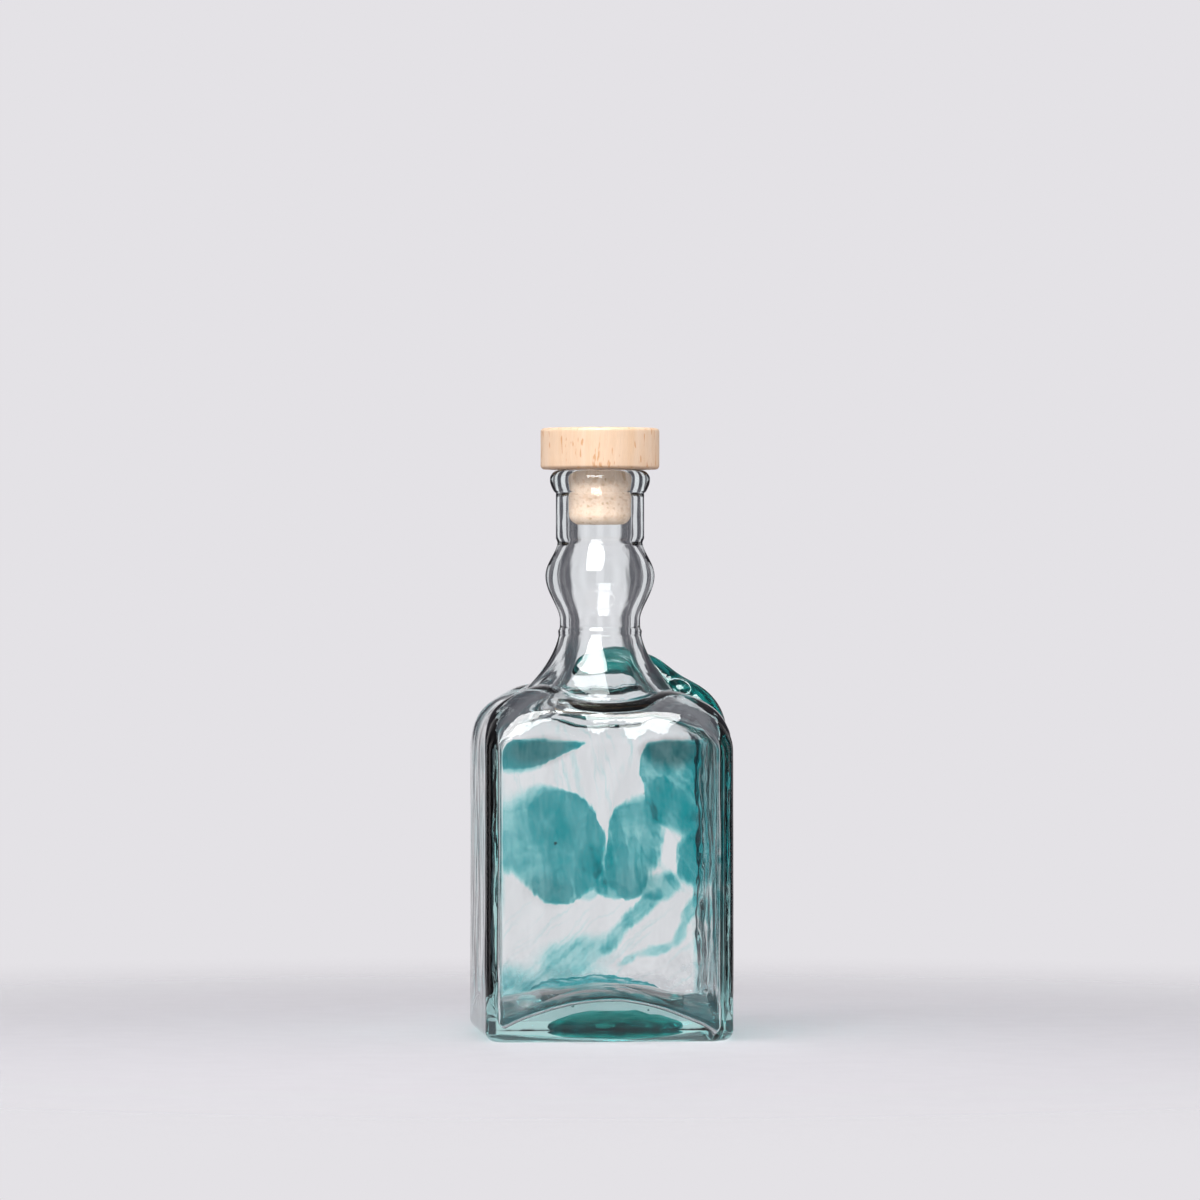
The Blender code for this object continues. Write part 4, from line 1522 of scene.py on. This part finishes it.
@dataclass(frozen=True)
class BeechHead:
    """The turned disc, with eased edges and the recess that takes the cork."""

    radius: float = 0.0220
    bottom: float = 0.2093
    thickness: float = 0.0156
    edge: float = 0.0014
    crown: float = 0.0003
    recess: float = 0.01205
    recess_depth: float = 0.0040
    sanding: Wave = Wave(0.00005, 0.006, 2.3)
    steps: int = 224

    def build(self, material: Material) -> Object:
        """Spin the disc and leave the slight unevenness of hand sanding on it.

        Args:
            material: The wood.

        Returns:
            The head's object.
        """
        top = self.bottom + self.thickness
        rim = self.radius - self.edge
        high, low = top - self.crown - self.edge, self.bottom + self.edge
        profile = [(rim * s, top - self.crown * s**2) for s in (0.0, 0.15, 0.3, 0.45, 0.6, 0.75, 0.9)]
        profile += arc(rim, high, self.edge, 90, 0, 8)
        profile += [(self.radius, between(high, low, s)) for s in spread(11)[:10]]
        profile += arc(rim, low, self.edge, 0, -90, 8)
        ceiling = self.bottom + self.recess_depth
        profile += [(self.recess, self.bottom), (self.recess, ceiling), (0.0, ceiling)]
        bm = turned(profile, self.steps)
        bm.normal_update()
        for vert in bm.verts:
            outside = math.hypot(vert.co.x, vert.co.y) > self.recess + 1.0 * MM
            if outside and vert.co.z > self.bottom + 0.2 * MM:
                vert.co -= vert.normal * (self.sanding.height + self.sanding.at(vert.co))
        return to_object(bm, "turned_beech_head", material)


@dataclass(frozen=True)
class CorkShank:
    """The moulded cork shank, slightly tapered, with a rounded lower end."""

    radius: float = 0.01175
    bottom: float = 0.1889
    top: float = 0.2121
    taper: float = 0.0002
    end_radius: float = 0.0040
    dents: tuple[Wave, ...] = (Wave(0.00007, 0.0009, 6.1), Wave(0.00007, 0.0022, 1.7))
    steps: int = 128

    def build(self, material: Material) -> Object:
        """Spin the shank and roughen it with the small dents between its grains.

        Args:
            material: The cork.

        Returns:
            The shank's object.
        """
        end = self.radius - self.taper - self.end_radius
        middle = (self.top + self.bottom) / 2
        low = self.bottom + self.end_radius
        profile = [(self.radius * s, self.top) for s in (0.0, 0.5, 1.0)]
        profile += [(self.radius, between(self.top, middle, s)) for s in spread(14)]
        profile += [(self.radius - self.taper * s, between(middle, low, s)) for s in spread(9)[:8]]
        profile += arc(end, low, self.end_radius, 0, -90, 10)
        profile += [(end * s, self.bottom) for s in (0.66, 0.33, 0.0)]
        bm = turned(profile, self.steps)
        bm.normal_update()
        for vert in bm.verts:
            vert.co -= vert.normal * sum(max(0.0, dent.at(vert.co)) for dent in self.dents)
        return to_object(bm, "pressed_cork_shank", material)


# The studio


@dataclass(frozen=True)
class Lamp:
    """A softbox: where it hangs, its size, its power in watts and where it aims.

    A fill lights matt surfaces only, and a panel shows in gloss and through glass only.
    """

    name: str
    place: Triple
    width: float
    height: float
    power: float
    lights: bool = True
    shines: bool = False
    aim: Triple = (0.0, 0.0, 0.12)

    def hang(self) -> None:
        """Add the softbox to the scene."""
        data = bpy.data.lights.new(self.name, "AREA")
        data.shape = "RECTANGLE"
        data.size = self.width
        data.size_y = self.height
        data.energy = self.power
        lamp = bpy.data.objects.new(self.name, data)
        lamp.location = self.place
        aim = Vector(self.aim) - Vector(self.place)
        lamp.rotation_euler = aim.to_track_quat("-Z", "Y").to_euler()
        lamp.visible_diffuse = self.lights
        lamp.visible_glossy = self.shines
        lamp.visible_transmission = self.shines
        bpy.context.scene.collection.objects.link(lamp)


@dataclass(frozen=True)
class Studio:
    """Pale floor and surroundings, softboxes and the camera."""

    pale: str = "#E4E2E6"
    flag: str = "#504E55"
    ceiling: str = "#737177"
    soft_light: str = "#B9B8BC"
    flags: int = 8
    gap_wave: Span = (-0.1, 0.5)
    ceiling_from: Span = (0.35, 0.70)
    floor_dark: str = "#CBC9CD"
    floor_pale: str = "#CECCD0"
    floor_radius: float = 0.65
    floor_fade: Span = (0.14, 0.60)
    azimuth: float = -5.0
    distance: float = 2.59
    eye_height: float = 0.161
    lens: float = 210.0
    sensor: float = 36.0
    far: float = 20.0
    lamps: tuple[Lamp, ...] = (
        Lamp("key_over_front", (-0.16, -0.42, 1.05), 0.55, 0.45, 8.5),
        Lamp("long_panel_over_front", (-0.21, -0.63, 0.92), 0.58, 1.0, 28.0, False, True),
        Lamp("fill_right", (1.5, -0.9, 0.7), 0.5, 1.2, 6.0),
        Lamp("fill_left", (-1.5, -1.1, 0.6), 0.5, 1.2, 7.0),
    )

    def camera(self) -> None:
        """Place the camera so that the bottle falls where it does in the photo."""
        turn = math.radians(self.azimuth)
        data = bpy.data.cameras.new("camera")
        data.lens = self.lens
        data.sensor_width = self.sensor
        data.clip_end = self.far
        camera = bpy.data.objects.new("camera", data)
        camera.location = (self.distance * math.sin(turn), -self.distance * math.cos(turn), self.eye_height)
        camera.rotation_euler = (QUARTER, 0.0, turn)
        bpy.context.scene.collection.objects.link(camera)
        bpy.context.scene.camera = camera

    def floor(self) -> None:
        """Lay a pale round table top that fades into its surroundings before its rim."""
        bm = bmesh.new()
        bmesh.ops.create_circle(bm, cap_ends=True, segments=96, radius=self.floor_radius)
        material, tree = new_material("pale_table_top")
        place = add(tree, "TexCoord", output="Object")
        reach = add(tree, "VectorMath", (place,), "Value", operation="LENGTH")
        fine = add(tree, "TexNoise", {"Vector": place, "Scale": 60.0, "Detail": 3.0})
        stops = ((0.3, self.floor_dark), (0.7, self.floor_pale))
        inputs = {
            "Base Color": add(tree, "ValToRGB", (fine,), stops=stops),
            "Roughness": 0.6,
            "Specular IOR Level": 0.1,
            "Alpha": add(tree, "MapRange", (reach, *self.floor_fade, 1.0, 0.0), **EASED),
        }
        add(tree, "OutputMaterial", (add(tree, "BsdfPrincipled", inputs),))
        to_object(bm, "table_top", material)

    def surroundings(self) -> None:
        """Put up a pale tent, with dark flags and a dark top that only glass and gloss see.

        The flags stand evenly all round, so that every side view looks through a pale gap. Matt
        surfaces get plain soft light.
        """
        world = bpy.data.worlds.new("studio")
        world.use_nodes = True
        bpy.context.scene.world = world
        tree = world.node_tree
        tree.nodes.clear()
        by_eye = add(tree, "LightPath", output="Is Camera Ray")
        seen = add(tree, "Math", (by_eye, by_eye.also("Is Glossy Ray")), operation="MAXIMUM")
        seen = add(tree, "Math", (seen, by_eye.also("Is Transmission Ray")), operation="MAXIMUM")
        x = add(tree, "SeparateXYZ", (add(tree, "TexCoord", output="Generated"),))
        angle = add(tree, "Math", (x, x.also(1)), operation="ARCTAN2") + math.radians(self.azimuth)
        wave = add(tree, "Math", (angle * float(self.flags),), operation="COSINE")
        gap = add(tree, "MapRange", (wave, *self.gap_wave), **EASED)
        high = add(tree, "MapRange", (x.also(2), *self.ceiling_from), **EASED)
        walls = add(tree, "ValToRGB", (gap,), stops=((0.0, self.flag), (1.0, self.pale)))
        tent = add(tree, "Mix", {0: high, 6: walls, 7: self.ceiling}, 2, data_type="RGBA")
        around = add(tree, "Mix", {0: 1.0 - by_eye, 6: self.pale, 7: tent}, 2, data_type="RGBA")
        colour = add(tree, "Mix", {0: seen, 6: self.soft_light, 7: around}, 2, data_type="RGBA")
        add(tree, "OutputWorld", (add(tree, "Background", (colour, 1.0)),))

    def build(self) -> None:
        """Set up everything round the bottle."""
        self.camera()
        self.floor()
        self.surroundings()
        for lamp in self.lamps:
            lamp.hang()
        bpy.context.scene.view_settings.view_transform = "Standard"


# Everything together


def attach(piece: Object, body: Body, slot: Slot, *nodes: str) -> None:
    """Let a piece ride on its body and stand for its CAD nodes.

    Args:
        piece: The finished piece.
        body: The body that carries it.
        slot: The record's material slot of its finish; not used.
        nodes: The CAD nodes that it stands for.
    """
    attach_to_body(piece, body.value)
    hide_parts(*nodes)
    log.info("%s: %d faces, rides on %s", piece.name, len(piece.data.polygons), body.value)


def dress(node: Object, material: Material) -> None:
    """Give a carried-over CAD node its finish.

    Args:
        node: The CAD node's object.
        material: The finish.
    """
    node.data.materials.clear()
    node.data.materials.append(material)
    log.info("%s: dressed in %s", node.name, material.name)


def main() -> None:
    """Build the bottle, its stopper and the studio."""
    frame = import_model()
    Studio().build()

    bottle = GlassBottle()
    glass = bottle.build(ClearGlass().build())
    wall_colours = ("colour_cloud_left", "colour_cloud_right", "colour_band_upper", "colour_streak_lower")
    attach(glass, Body.BOTTLE, Slot.CLEAR, "bottle_body", *wall_colours)
    deep = (0.0, 0.77, 0.755, 1.0)
    trail_glass = DeepGlass("deep_turquoise_trail_glass", Melt(1.5, deep, 340.0, 0.6))
    attach(ShoulderTrail(bottle).build(trail_glass.build()), Body.BOTTLE, Slot.DEEP, "shoulder_trail")
    # The pool is shut in clear glass, so light passes into it without bending.
    pool_glass = DeepGlass("deep_turquoise_pool_glass", Melt(1.0, deep, 95.0, 0.6), True)
    attach(BasePool().build(pool_glass.build()), Body.BOTTLE, Slot.DEEP, "colour_pool_base")

    attach(BeechHead().build(Beech().build()), Body.STOPPER, Slot.BEECH, "stopper_head")
    attach(CorkShank().build(PressedCork().build()), Body.STOPPER, Slot.CORK, "stopper_cork")
    dress(frame["nodes"]["stopper_glue"], DriedGlue().build())


if __name__ == "__main__":
    main()
